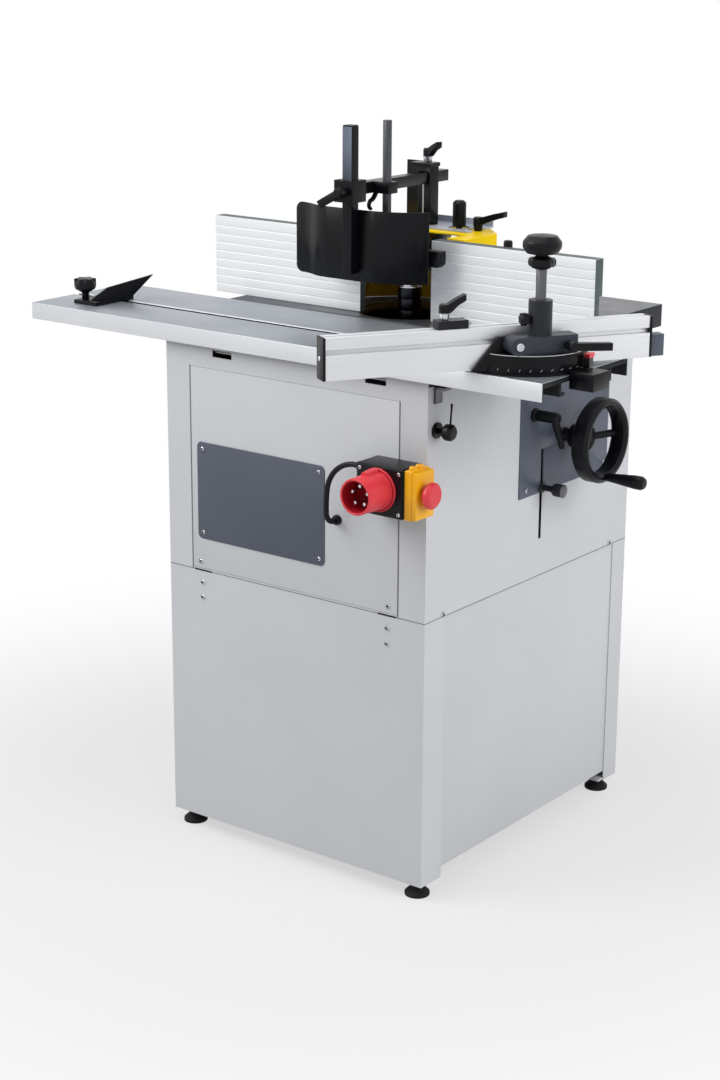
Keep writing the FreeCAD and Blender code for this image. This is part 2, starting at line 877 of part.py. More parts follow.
def make_screws():
    """Make the pan heads on the cabinet."""
    heads = []

    def head(x, y, z, axis):
        heads.append(cone(x, y, z, s.screw_radius, s.screw_crown, s.screw_head, axis))

    plate_z = seam + s.front_plate_rise
    plate_x = left + s.front_plate_left
    for x in (plate_x + s.plate_screw_inset, plate_x + front_plate_width - s.plate_screw_inset):
        for z in (plate_z + s.plate_screw_inset, plate_z + s.front_plate_height - s.plate_screw_inset):
            head(x, front - s.plate_thick, z, "-y")
    cover_right = left + s.cover_left + cover_width
    for x in (left + s.cover_left + s.cover_screw_inset, cover_right - s.cover_screw_inset):
        head(x, front, seam + s.cover_rise + s.cover_screw_drop + s.screw_radius, "-y")
    for x in (left + s.frame_screw_inset, right - s.frame_screw_inset):
        for drop in (s.frame_screw_drop, s.frame_screw_drop + s.frame_screw_step):
            head(x, front, seam - drop, "-y")
    for y in (front + s.seam_screw_front, back - s.seam_screw_back):
        head(right, y, seam + s.screw_radius, "x")
    side_y = spindle_y - s.side_plate_ahead
    side_z = seam + s.side_plate_rise
    for y in (side_y + s.plate_screw_inset * 2, side_y + s.side_plate_width - s.plate_screw_inset):
        for z in (side_z + s.plate_screw_inset, side_z + s.side_plate_height - s.plate_screw_inset):
            head(right + s.plate_thick, y, z, "x")
    node("cabinet_screws", group(*heads))


def make_table():
    """Make the cast table with its spindle hole and its stepped seat for rings."""
    length = s.cabinet_width + s.table_over_left + s.table_over_right
    depth = s.cabinet_depth - table_front + s.table_over_back
    block = box(left - s.table_over_left, front + table_front, cabinet_top, length, depth, s.table_thick)
    pocket_y = front + table_front + s.table_rim
    pocket = box(left + s.flange_width, pocket_y, cabinet_top - s.overrun,
                 s.cabinet_width - s.flange_width * 2, back - s.flange_width - pocket_y,
                 s.table_thick - s.table_plate + s.overrun)
    hole = rod(spindle_x, spindle_y, cabinet_top, s.table_hole, s.table_thick + s.overrun)
    seat = rod(spindle_x, spindle_y, table_top - s.ring_depth, s.table_hole + s.ring_step,
               s.ring_depth + s.overrun)
    node("main_table", cut(block, pocket, hole, seat))


def rail_levels():
    """Return the rail's under-flange and top levels."""
    top = table_top - s.slot_depth - s.slot_wall - s.slide_clearance
    return top - s.rail_flange, top


def make_slide():
    """Make the fixed rail and the extruded sliding table that hooks round it."""
    under, top = rail_levels()
    web_y = front + s.rail_front + (s.rail_width - s.rail_web) / 2
    web = box(left, web_y, cabinet_top, s.cabinet_width, s.rail_web, under - cabinet_top)
    flange = box(left, front + s.rail_front, under, s.cabinet_width, s.rail_width, s.rail_flange)
    node("slide_rail", fuse(web, flange))
    near = slide_y
    far = slide_y + slide_width
    foot = table_top - s.slide_thick
    deck = table_top - s.deck_thick
    slot = slide_y + s.slot_inset
    neck = table_top - s.slot_neck
    floor = table_top - s.slot_depth
    channel = s.slot_head / 2 + s.slot_wall
    first = front + s.rail_front - s.slide_gap
    last = first + s.rail_width + s.slide_gap * 2
    hook_top = under - s.hook_gap
    hook_foot = hook_top - s.hook_thick
    outline = [
        (near, foot),
        (near, table_top),
        (slot - s.slot_width / 2, table_top),
        (slot - s.slot_width / 2, neck),
        (slot - s.slot_head / 2, neck),
        (slot - s.slot_head / 2, floor),
        (slot + s.slot_head / 2, floor),
        (slot + s.slot_head / 2, neck),
        (slot + s.slot_width / 2, neck),
        (slot + s.slot_width / 2, table_top),
        (far, table_top),
        (far, foot),
        (far - s.skirt_thick, foot),
        (far - s.skirt_thick, deck),
        (last + s.hook_thick, deck),
        (last + s.hook_thick, hook_foot),
        (last - s.hook_reach, hook_foot),
        (last - s.hook_reach, hook_top),
        (last, hook_top),
        (last, deck),
        (slot + channel, deck),
        (slot + channel, floor - s.slot_wall),
        (slot - channel, floor - s.slot_wall),
        (slot - channel, deck),
        (first, deck),
        (first, hook_top),
        (first + s.hook_reach, hook_top),
        (first + s.hook_reach, hook_foot),
        (first - s.hook_thick, hook_foot),
        (first - s.hook_thick, deck),
        (near + s.skirt_thick, deck),
        (near + s.skirt_thick, foot),
    ]
    node("sliding_table", padded("YZ_Plane", outline, s.slide_length, slide_x, 0, 0))


def make_table_lock():
    """Make the spring bolt on the right wall, its bush and the bracket above it."""
    y = front + s.lock_back
    z = cabinet_top - s.lock_drop
    bush = cut(rod(right, y, z, s.lock_bush, s.lock_bush_thick, "x"),
               rod(right - s.overrun, y, z, s.lock_stem + s.running_gap,
                   s.lock_bush_thick + s.overrun * 2, "x"))
    bracket_z = cabinet_top - s.lock_bracket_height
    wall = box(right, y - s.lock_bracket_width / 2, bracket_z,
               s.lock_bracket_wall, s.lock_bracket_width, s.lock_bracket_height)
    shelf = box(right, y - s.lock_bracket_width / 2, cabinet_top - s.lock_bracket_wall,
                s.lock_bracket_depth, s.lock_bracket_width, s.lock_bracket_wall)
    node("lock_bracket", group(bush, fuse(wall, shelf)))
    profile = [
        (0, 0),
        (s.lock_stem, 0),
        (s.lock_stem, s.lock_tail + s.lock_stand),
        (s.lock_knob_radius * knob_waist_share, s.lock_tail + s.lock_stand),
        (s.lock_knob_radius, s.lock_tail + s.lock_stand + s.lock_knob_length * knob_low_share),
        (s.lock_knob_radius, s.lock_tail + s.lock_stand + s.lock_knob_length * knob_high_share),
        (s.lock_knob_radius * knob_crown_share, s.lock_tail + s.lock_stand + s.lock_knob_length),
        (0, s.lock_tail + s.lock_stand + s.lock_knob_length),
    ]
    node("table_lock_knob", turned(profile, right - s.lock_tail, y, z, "x"))


knob_waist_share = 0.6
knob_low_share = 0.3
knob_high_share = 0.8
knob_crown_share = 0.75

# Levels of the spindle unit
housing_top = table_top - s.housing_drop
housing_foot = housing_top - s.housing_length
pulley_top = housing_foot - s.pulley_gap
pulley_foot = pulley_top - s.pulley_width
plate_top = pulley_foot - s.pulley_gap
plate_foot = plate_top - s.motor_plate_thick
motor_y = spindle_y + motor_distance
column_xs = (spindle_x - s.column_spread, spindle_x + s.column_spread)
screw_x = spindle_x + s.screw_across
screw_y = spindle_y + screw_back


def make_columns():
    """Make the two guide columns, their tie and the upright that bears the wheel shaft."""
    column_height = table_top - s.table_plate - column_foot
    columns = [rod(x, spindle_y, column_foot, s.column_radius, column_height) for x in column_xs]
    tie_x = column_xs[0] - s.tie_over
    upright_x = spindle_x + s.upright_across
    tie = box(tie_x, spindle_y - s.tie_front, column_foot,
              upright_x + s.upright_thick - tie_x, s.tie_front + screw_back + s.upright_side, s.tie_height)
    upright_z = column_foot + s.tie_height
    upright = box(upright_x, wheel_y - s.upright_side, column_foot, s.upright_thick,
                  s.upright_side * 2, wheel_z + s.upright_over - column_foot)
    bores = [rod(x, spindle_y, column_foot - s.overrun, s.column_radius, s.tie_height + s.overrun * 2)
             for x in column_xs]
    journal = rod(screw_x, screw_y, column_foot + s.screw_collar_thick, s.screw_journal + s.running_gap,
                  s.tie_height + s.overrun)
    bearing = rod(upright_x - s.overrun, wheel_y, wheel_z, s.wheel_shaft + s.running_gap,
                  s.upright_thick + s.overrun * 2, "x")
    node("guide_columns", group(*columns, cut(fuse(tie, upright), *bores, journal, bearing)))
    return upright_z


def make_carriage():
    """Make the carriage casting that rides on the columns."""
    housing = rod(spindle_x, spindle_y, housing_foot, s.housing_radius, s.housing_length)
    bosses = [rod(x, spindle_y, boss_foot, s.boss_radius, s.boss_length) for x in column_xs]
    web = box(column_xs[0], spindle_y - s.web_thick / 2, housing_foot + s.web_gap,
              s.column_spread * 2, s.web_thick, s.web_height)
    nut_z = table_top - s.nut_drop
    nut_x = spindle_x
    nut = box(nut_x, spindle_y, nut_z, s.screw_across + s.screw_rod + s.nut_wall,
              screw_back + s.screw_rod + s.nut_wall, s.nut_thick)
    arm_x = column_xs[1]
    arm = box(arm_x, lock_y - s.lock_arm_half, lock_z - s.lock_arm_half,
              right - s.sheet_thick - s.lock_arm_gap - arm_x, s.lock_arm_half * 2, s.lock_arm_half * 2)
    plate = box(column_xs[0], spindle_y, plate_foot, s.column_spread * 2,
                motor_distance + s.motor_plate_over, s.motor_plate_thick)
    casting = fuse(housing, *bosses, web, nut, arm, plate)
    high = housing_top + s.overrun * 2 - plate_foot
    low = plate_foot - s.overrun
    tools = [rod(spindle_x, spindle_y, low, s.bearing_radius, high + s.overrun)]
    for x in column_xs:
        tools.append(rod(x, spindle_y, boss_foot - s.overrun, s.column_radius + s.running_gap,
                         s.boss_length + s.nut_thick + s.overrun * 4))
    tools.append(rod(screw_x, screw_y, nut_z - s.overrun, s.screw_rod + s.thread_gap,
                     s.nut_thick + s.overrun * 2))
    tools.append(rod(screw_x, screw_y, low, s.screw_hole, s.motor_plate_thick + s.overrun * 2))
    tools.append(rod(spindle_x, motor_y, low, s.motor_shaft + s.wall_hole_gap,
                     s.motor_plate_thick + s.overrun * 2))
    stud_x = right - s.sheet_thick - s.lock_arm_gap - s.lock_arm_half * 2
    tools.append(rod(stud_x, lock_y, lock_z, s.height_stud + s.running_gap,
                     s.lock_arm_half * 2 + s.overrun, "x"))
    node("spindle_carriage", cut(casting, *tools))
    return stud_x


def make_spindle():
    """Make the spindle, its bearings, its rings and its pulley."""
    rings = []
    for z in (housing_foot + s.bearing_inset, housing_top - s.bearing_inset - s.bearing_width):
        outer = rod(spindle_x, spindle_y, z, s.bearing_radius, s.bearing_width)
        inner = rod(spindle_x, spindle_y, z - s.overrun, s.shaft_radius + s.running_gap,
                    s.bearing_width + s.overrun * 2)
        rings.append(cut(outer, inner))
    node("spindle_bearings", group(*rings))
    stack_foot = table_top - s.ring_start
    arbor_top = table_top + s.arbor_rise
    profile = [
        (0, plate_top),
        (s.pulley_seat, plate_top),
        (s.pulley_seat, pulley_top),
        (s.shaft_radius, pulley_top),
        (s.shaft_radius, housing_top),
        (s.flinger_radius, housing_top + s.pulley_gap / 3),
        (s.flinger_radius, housing_top + s.flinger_thick),
        (s.ring_radius, housing_top + s.flinger_thick),
        (s.ring_radius, stack_foot),
        (s.arbor_radius, stack_foot),
        (s.arbor_radius, arbor_top - s.arbor_radius / 5),
        (s.arbor_radius * 4 / 5, arbor_top),
        (0, arbor_top),
    ]
    node("spindle_shaft", turned(profile, spindle_x, spindle_y, 0))
    count = int(s.ring_count.value)
    pitch = (s.ring_start + s.ring_rise) / s.ring_count
    stack = []
    for index in range(count):
        z = stack_foot + pitch * index
        stack.append(turned([
            (s.arbor_radius, 0),
            (s.ring_radius - s.ring_line, 0),
            (s.ring_radius, s.ring_line),
            (s.ring_radius, pitch - s.ring_line),
            (s.ring_radius - s.ring_line, pitch),
            (s.arbor_radius, pitch),
        ], spindle_x, spindle_y, z))
    node("spindle_rings", group(*stack))
    node("spindle_pulley", turned(pulley_profile(s.pulley_seat, s.spindle_pulley_radius),
                                  spindle_x, spindle_y, 0))


def pulley_profile(bore, radius):
    """Return the outline of a flat pulley with a flange at each end."""
    return [
        (bore, pulley_foot),
        (radius + s.pulley_lip, pulley_foot),
        (radius + s.pulley_lip, pulley_foot + s.pulley_flange),
        (radius, pulley_foot + s.pulley_flange),
        (radius, pulley_top - s.pulley_flange),
        (radius + s.pulley_lip, pulley_top - s.pulley_flange),
        (radius + s.pulley_lip, pulley_top),
        (bore, pulley_top),
    ]


def make_motor():
    """Make the motor with its fins, fan cover and terminal box, and the driven pulley on its shaft."""
    motor_foot = plate_foot - s.motor_length
    barrel = rod(spindle_x, motor_y, motor_foot, motor_radius, s.motor_length)
    fins = []
    for index in range(int(s.fin_count.value)):
        turn = FreeCAD.Rotation(VERTICAL, 360 * index / s.fin_count.value)
        side = turn.multVec(FreeCAD.Vector(1, 0, 0))
        across = turn.multVec(FreeCAD.Vector(0, 1, 0))
        reach = motor_radius - s.fin_depth
        x = spindle_x + reach * side.x - s.fin_width / 2 * across.x
        y = motor_y + reach * side.y - s.fin_width / 2 * across.y
        fins.append(box(x, y, motor_foot + s.fan_cover_length, s.fin_depth * 2, s.fin_width,
                        s.motor_length - s.fan_cover_length - s.motor_plate_thick, turn))
    terminal = box(spindle_x - motor_radius - s.terminal_height / 4, motor_y - s.terminal_width / 2,
                   motor_foot + s.fan_cover_length + s.terminal_width / 2, s.terminal_height,
                   s.terminal_width, s.terminal_depth)
    cover_groove = rod(spindle_x, motor_y, motor_foot + s.fan_cover_length - s.fin_depth / 2,
                       motor_radius + s.overrun, s.fin_depth / 2)
    cover_core = rod(spindle_x, motor_y, motor_foot + s.fan_cover_length - s.fin_depth,
                     fan_cover_radius, s.fin_depth * 2)
    bore = rod(spindle_x, motor_y, plate_foot - s.motor_shaft_depth, s.motor_shaft + s.running_gap,
               s.motor_shaft_depth + s.overrun)
    body = cut(cut(barrel, *fins), cut(cover_groove, cover_core), bore)
    node("drive_motor", fuse(body, cut(terminal, rod(spindle_x, motor_y, motor_foot, motor_radius
                                                     - s.fin_depth, s.motor_length))))
    shaft_foot = plate_foot - s.motor_shaft_depth + s.running_gap
    profile = [(0, shaft_foot), (s.motor_shaft, shaft_foot)]
    profile += pulley_profile(s.motor_shaft, s.motor_pulley_radius)
    profile[-1] = (0, pulley_top)
    node("motor_pulley", turned(profile, spindle_x, motor_y, 0))


def belt_loop(margin):
    """Return the closed run of a belt round both pulleys, a margin out from them."""
    small = s.spindle_pulley_radius.value + margin
    large = s.motor_pulley_radius.value + margin
    lean = math.asin((large - small) / motor_distance.value)
    edges = []
    centres = ((spindle_y.value, small, -1), (motor_y.value, large, 1))
    touch = {}
    for y, radius, _ in centres:
        for side in (-1, 1):
            spot = FreeCAD.Vector(spindle_x.value + side * radius * math.cos(lean),
                                  y - radius * math.sin(lean), pulley_foot.value)
            touch[(y, side)] = spot
    for y, radius, way in centres:
        middle = FreeCAD.Vector(spindle_x.value, y + way * radius, pulley_foot.value)
        edges.append(Part.Arc(touch[(y, -1)], middle, touch[(y, 1)]).toShape())
    for side in (-1, 1):
        near = touch[(spindle_y.value, side)]
        far = touch[(motor_y.value, side)]
        edges.append(Part.LineSegment(near, far).toShape())
    return Part.Face(Part.Wire(Part.__sortEdges__(edges)))


def make_belt():
    """Make the flat ribbed belt as one loop."""
    inner = belt_loop(s.belt_gap.value)
    outer = belt_loop(s.belt_gap.value + s.belt_thick.value)
    side = s.pulley_flange + s.belt_side_gap
    width = s.pulley_width - side * 2
    loop = outer.cut(inner).extrude(FreeCAD.Vector(0, 0, width.value))
    belt = doc.addObject("Part::Feature", "Belt")
    belt.Shape = loop
    place(belt, 0, 0, side)
    node("drive_belt", belt)


def make_lift():
    """Make the lift screw and the wheel shaft, each with its bevel gear."""
    journal_foot = column_foot + s.screw_collar_thick + s.running_gap
    tie_top = column_foot + s.tie_height
    gear_foot = wheel_z - s.gear_radius - s.gear_gap
    small = s.gear_radius - s.gear_face
    profile = [
        (0, journal_foot),
        (s.screw_journal, journal_foot),
        (s.screw_journal, tie_top + s.gear_gap),
        (s.screw_collar, tie_top + s.gear_gap),
        (s.screw_collar, tie_top + s.gear_gap + s.screw_collar_thick),
        (s.screw_rod, tie_top + s.gear_gap + s.screw_collar_thick),
        (s.screw_rod, gear_foot - s.gear_hub),
        (small, gear_foot - s.gear_hub),
        (small, gear_foot),
        (s.gear_radius, gear_foot),
        (small, gear_foot + s.gear_face),
        (s.screw_rod, gear_foot + s.gear_face),
        (s.screw_rod, screw_top),
        (0, screw_top),
    ]
    node("lift_screw", turned(profile, screw_x, screw_y, 0))
    start = screw_x + s.gear_radius + s.gear_gap - s.gear_face
    wheel_face = right + s.wheel_stand + s.wheel_width / 2 - s.wheel_dish
    length = wheel_face - start
    shaft = [
        (0, 0),
        (small, 0),
        (s.gear_radius, s.gear_face),
        (small, s.gear_face),
        (small, s.gear_face + s.gear_hub),
        (s.wheel_shaft, s.gear_face + s.gear_hub),
        (s.wheel_shaft, length),
        (0, length),
    ]
    node("handwheel_shaft", turned(shaft, start, wheel_y, wheel_z, "x"))


def make_handwheel():
    """Make the handwheel with its spokes and crank pin, and the loose crank handle."""
    inner = s.wheel_radius - s.wheel_rim
    wheel_x = right + s.wheel_stand
    rim = turned([
        (inner, s.rim_chamfer),
        (inner + s.rim_chamfer, 0),
        (s.wheel_radius - s.rim_chamfer, 0),
        (s.wheel_radius, s.rim_chamfer),
        (s.wheel_radius, s.wheel_width - s.rim_chamfer),
        (s.wheel_radius - s.rim_chamfer, s.wheel_width),
        (inner + s.rim_chamfer, s.wheel_width),
        (inner, s.wheel_width - s.rim_chamfer),
    ], wheel_x, wheel_y, wheel_z, "x")
    hub_x = wheel_x + s.wheel_width / 2 - s.wheel_hub_length - s.wheel_dish
    hub = rod(hub_x, wheel_y, wheel_z, s.wheel_hub, s.wheel_hub_length, "x")
    spokes = []
    reach = inner + s.rim_chamfer
    run = Length(f"sqrt(({reach.text})^2 + ({s.wheel_dish.text})^2)",
                 math.hypot(reach.value, s.wheel_dish.value))
    lean = math.degrees(math.atan2(s.wheel_dish.value, reach.value))
    for index in range(int(s.spoke_count.value)):
        angle = s.spoke_start.value + 360 * index / s.spoke_count.value
        spoke = doc.addObject("Part::Cylinder", "Spoke")
        bind(spoke, "Radius", s.spoke_radius)
        bind(spoke, "Height", run)
        outward = FreeCAD.Rotation(FreeCAD.Vector(0, 1, 0), lean)
        turn = FreeCAD.Rotation(FreeCAD.Vector(1, 0, 0), angle).multiply(outward)
        spokes.append(place(spoke, wheel_x + s.spoke_radius - s.wheel_dish, wheel_y, wheel_z, turn))
    pin_z = wheel_z - s.crank_offset
    pin_x = wheel_x + s.wheel_width / 2
    pin = rod(pin_x, wheel_y, pin_z, s.crank_pin, s.wheel_width / 2 + s.crank_pin_length, "x")
    bore = rod(hub_x - s.overrun, wheel_y, wheel_z, s.wheel_shaft, s.wheel_hub_length + s.overrun * 2, "x")
    node("handwheel", cut(fuse(rim, hub, *spokes, pin), bore))
    hole = s.crank_pin + s.running_gap
    depth = s.crank_pin_length - s.crank_gap + s.running_gap
    grip = [
        (hole, 0),
        (s.crank_neck, 0),
        (s.crank_neck, s.crank_length * crank_neck_share),
        (s.crank_grip, s.crank_length * crank_grip_share),
        (s.crank_grip, s.crank_length * crank_end_share),
        (s.crank_end, s.crank_length),
        (0, s.crank_length),
        (0, depth),
        (hole, depth),
    ]
    node("crank_handle", turned(grip, wheel_x + s.wheel_width + s.crank_gap, wheel_y, pin_z, "x"))


crank_neck_share = 0.1
crank_grip_share = 0.75
crank_end_share = 0.92


def make_height_lock(stud_x):
    """Make the lock knob whose stud runs in the slot of the side wall."""
    face = right + s.plate_thick + s.cover_gap - stud_x
    start = face + s.height_washer_thick
    knob = start + s.height_neck_length
    profile = [
        (0, s.running_gap),
        (s.height_stud, s.running_gap),
        (s.height_stud, face),
        (s.height_washer, face),
        (s.height_washer, start),
        (s.height_neck, start),
        (s.height_neck, knob),
        (s.height_knob, knob + s.height_knob_length * knob_low_share),
        (s.height_knob, knob + s.height_knob_length * knob_high_share),
        (s.height_knob * knob_waist_share, knob + s.height_knob_length),
        (0, knob + s.height_knob_length),
    ]
    node("height_lock_knob", turned(profile, stud_x, lock_y, lock_z, "x"))


def make_switch():
    """Make the switch box, its inlet, the switch with its flap, and the short cable."""
    x = right - s.box_right
    face = front - s.box_depth
    shell = padded("XZ_Plane", rectangle(s.box_width, s.box_height), s.box_depth, x, front, box_foot)
    node("switch_box", round_edges(shell, s.box_corner, runs_along(FreeCAD.Vector(0, 1, 0))))
    inlet_x = x + s.inlet_across
    inlet_z = box_foot + s.inlet_rise
    floor = s.inlet_length - s.inlet_depth
    profile = [
        (0, 0),
        (s.inlet_flange, 0),
        (s.inlet_flange, s.inlet_flange_thick),
        (s.inlet_radius, s.inlet_flange_thick),
        (s.inlet_mouth, s.inlet_length),
        (s.inlet_bore, s.inlet_length),
        (s.inlet_bore, floor),
        (0, floor),
    ]
    node("power_inlet", turned(profile, inlet_x, face, inlet_z, "-y"))
    pins = []
    for index in range(int(s.pin_count.value)):
        angle = math.radians(90 + 360 * index / s.pin_count.value)
        pin_x = inlet_x + s.pin_circle * math.cos(angle)
        pin_z = inlet_z + s.pin_circle * math.sin(angle)
        pins.append(rod(pin_x, face - floor, pin_z, s.pin_radius, s.pin_length, "-y"))
    node("inlet_pins", group(*pins))
    side = x + s.box_width
    module_y = front - s.module_front
    module_height = s.box_height - s.module_trim
    node("switch_module", box(side, module_y, box_foot, s.module_thick, s.module_width, module_height))
    flap_x = side + s.module_thick + s.flap_gap
    round_top = s.flap_thick / 2
    flap_foot = box_foot + s.flap_inset
    flap_height = module_height - s.flap_inset * 2 - round_top
    flap = fuse(box(flap_x, module_y, flap_foot, s.flap_thick, s.module_width, flap_height),
                rod(flap_x + round_top, module_y, flap_foot + flap_height, round_top, s.module_width, "y"))
    button_y = module_y + s.module_width / 2
    button_z = box_foot + s.button_rise
    stem_hole = rod(flap_x - s.overrun, button_y, button_z, s.button_stem + s.running_gap,
                    s.flap_thick + s.overrun * 2, "x")
    node("switch_flap", cut(flap, stem_hole))
    reach = s.flap_thick + s.button_stand
    button = [
        (0, s.button_stand + s.flap_gap),
        (s.button_stem, s.button_stand + s.flap_gap),
        (s.button_stem, reach),
        (s.button_radius * knob_high_share, reach),
        (s.button_radius, reach + s.button_thick / 3),
        (s.button_radius, reach + s.button_thick - s.button_crown),
        (s.button_radius * knob_crown_share, reach + s.button_thick),
        (0, reach + s.button_thick),
    ]
    node("stop_button", turned(button, flap_x, button_y, button_z, "x"))
    make_cable(x)


# The cable's route from the box to the panel, as steps from the box gland's nose in hundredths of its drop.
CABLE_STEPS = (
    (0.0, 0.0, 0.0),
    (-11.6, 0.0, 0.0),
    (-24.3, -0.3, -3.4),
    (-35.7, -0.8, -10.0),
    (-45.0, -1.5, -19.3),
    (-51.6, -2.2, -30.7),
    (-55.0, -2.8, -43.4),
    (-56.2, -3.2, -58.0),
    (-56.6, -3.4, -72.0),
    (-56.6, -3.0, -85.6),
    (-56.6, -0.3, -92.2),
    (-56.6, 4.8, -97.3),
    (-56.6, 11.4, -100.0),
    (-56.6, 17.0, -100.0),
)


def make_cable(box_x):
    """Make the two glands and the cable between them, as runs joined by tangent arcs."""
    nose_x = box_x - s.gland_length
    nose_y = front - s.box_gland_out
    nose_z = box_foot + s.box_gland_rise
    nose = FreeCAD.Vector(nose_x.value, nose_y.value, nose_z.value)
    spots = [nose + FreeCAD.Vector(*step) * (s.cable_drop.value / 100) for step in CABLE_STEPS]
    edges, radii = smooth_route(spots)
    print("cable bend radii", [round(radius, 1) for radius in radii])
    wire = Part.Wire(edges)
    start = edges[0].tangentAt(edges[0].FirstParameter)
    ring = Part.Wire(Part.Circle(nose, start, s.cable_radius.value).toShape())
    cable = doc.addObject("Part::Feature", "Cable")
    cable.Shape = wire.makePipeShell([ring], True, False)
    place(cable, 0, 0, 0)
    node("switch_cable", cable)
    section = math.pi * s.cable_radius.value ** 2
    print("cable length", round(wire.Length, 1), "volume share",
          round(cable.Shape.Volume / (section * wire.Length), 4))
    end = spots[-1]
    wall_length = front.value - end.y
    box_gland = gland_body(s.gland_length, nose_x + s.gland_length, nose_y, nose_z,
                           FreeCAD.Rotation(FreeCAD.Vector(0, 1, 0), -90))
    wall_gland = gland_body(Length(repr(wall_length), wall_length), as_length(end.x), front,
                            as_length(end.z), TURNS["-y"])
    node("cable_glands", group(box_gland, wall_gland))


def gland_body(length, x, y, z, turn):
    """Add a cable gland: a nut with a tapered nose."""
    profile = [
        (0, 0),
        (s.gland_radius, 0),
        (s.gland_radius, length * gland_nut_share),
        (s.gland_nose, length),
        (0, length),
    ]
    body = doc.addObject("PartDesign::Body", "Gland")
    add_turned(body, profile)
    return place(body, x, y, z, turn)


gland_nut_share = 0.55
bend_share = 0.45


def smooth_route(spots):
    """Return the edges and bend radii of a route: straight runs joined by tangent arcs."""
    edges = []
    radii = []
    here = spots[0]
    for before, corner, after in zip(spots, spots[1:], spots[2:]):
        way_in = (corner - before).normalize()
        way_out = (after - corner).normalize()
        setback = bend_share * min(corner.distanceToPoint(before), corner.distanceToPoint(after))
        turn = way_in.getAngle(way_out)
        radii.append(setback / math.tan(turn / 2))
        first = corner - way_in * setback
        last = corner + way_out * setback
        bulge = (way_out - way_in).normalize()
        depth = radii[-1] / math.cos(turn / 2) - radii[-1]
        edges.append(Part.LineSegment(here, first).toShape())
        edges.append(Part.Arc(first, corner + bulge * depth, last).toShape())
        here = last
    edges.append(Part.LineSegment(here, spots[-1]).toShape())
    return edges, radii


# Places along the mitre bar, from the foot of its pivot
pivot_x = slide_end - s.pivot_inset
pivot_y = slide_y + s.pivot_back
bar_cos = s.bar_angle.cos()
bar_sin = s.bar_angle.sin()
BAR_TURN = FreeCAD.Rotation(VERTICAL, s.bar_angle.value)
swivel_z = table_top + s.disc_thick + s.swivel_gap
segment_z = swivel_z + s.swivel_thick
bar_z = segment_z + s.bar_lift
bar_top = bar_z + s.bar_height
arm_z = segment_z + s.segment_thick


def by_bar(along, out):
    """Return the place of a point along the bar and out from its face."""
    reach = s.bar_out + out
    return pivot_x + along * bar_cos + reach * bar_sin, pivot_y + along * bar_sin - reach * bar_cos


def bar_box(along, out, z, length, width, height):
    """Add a box in line with the bar, from its outer near corner inwards."""
    x, y = by_bar(along, out)
    return box(x, y, z, length, width, height, BAR_TURN)


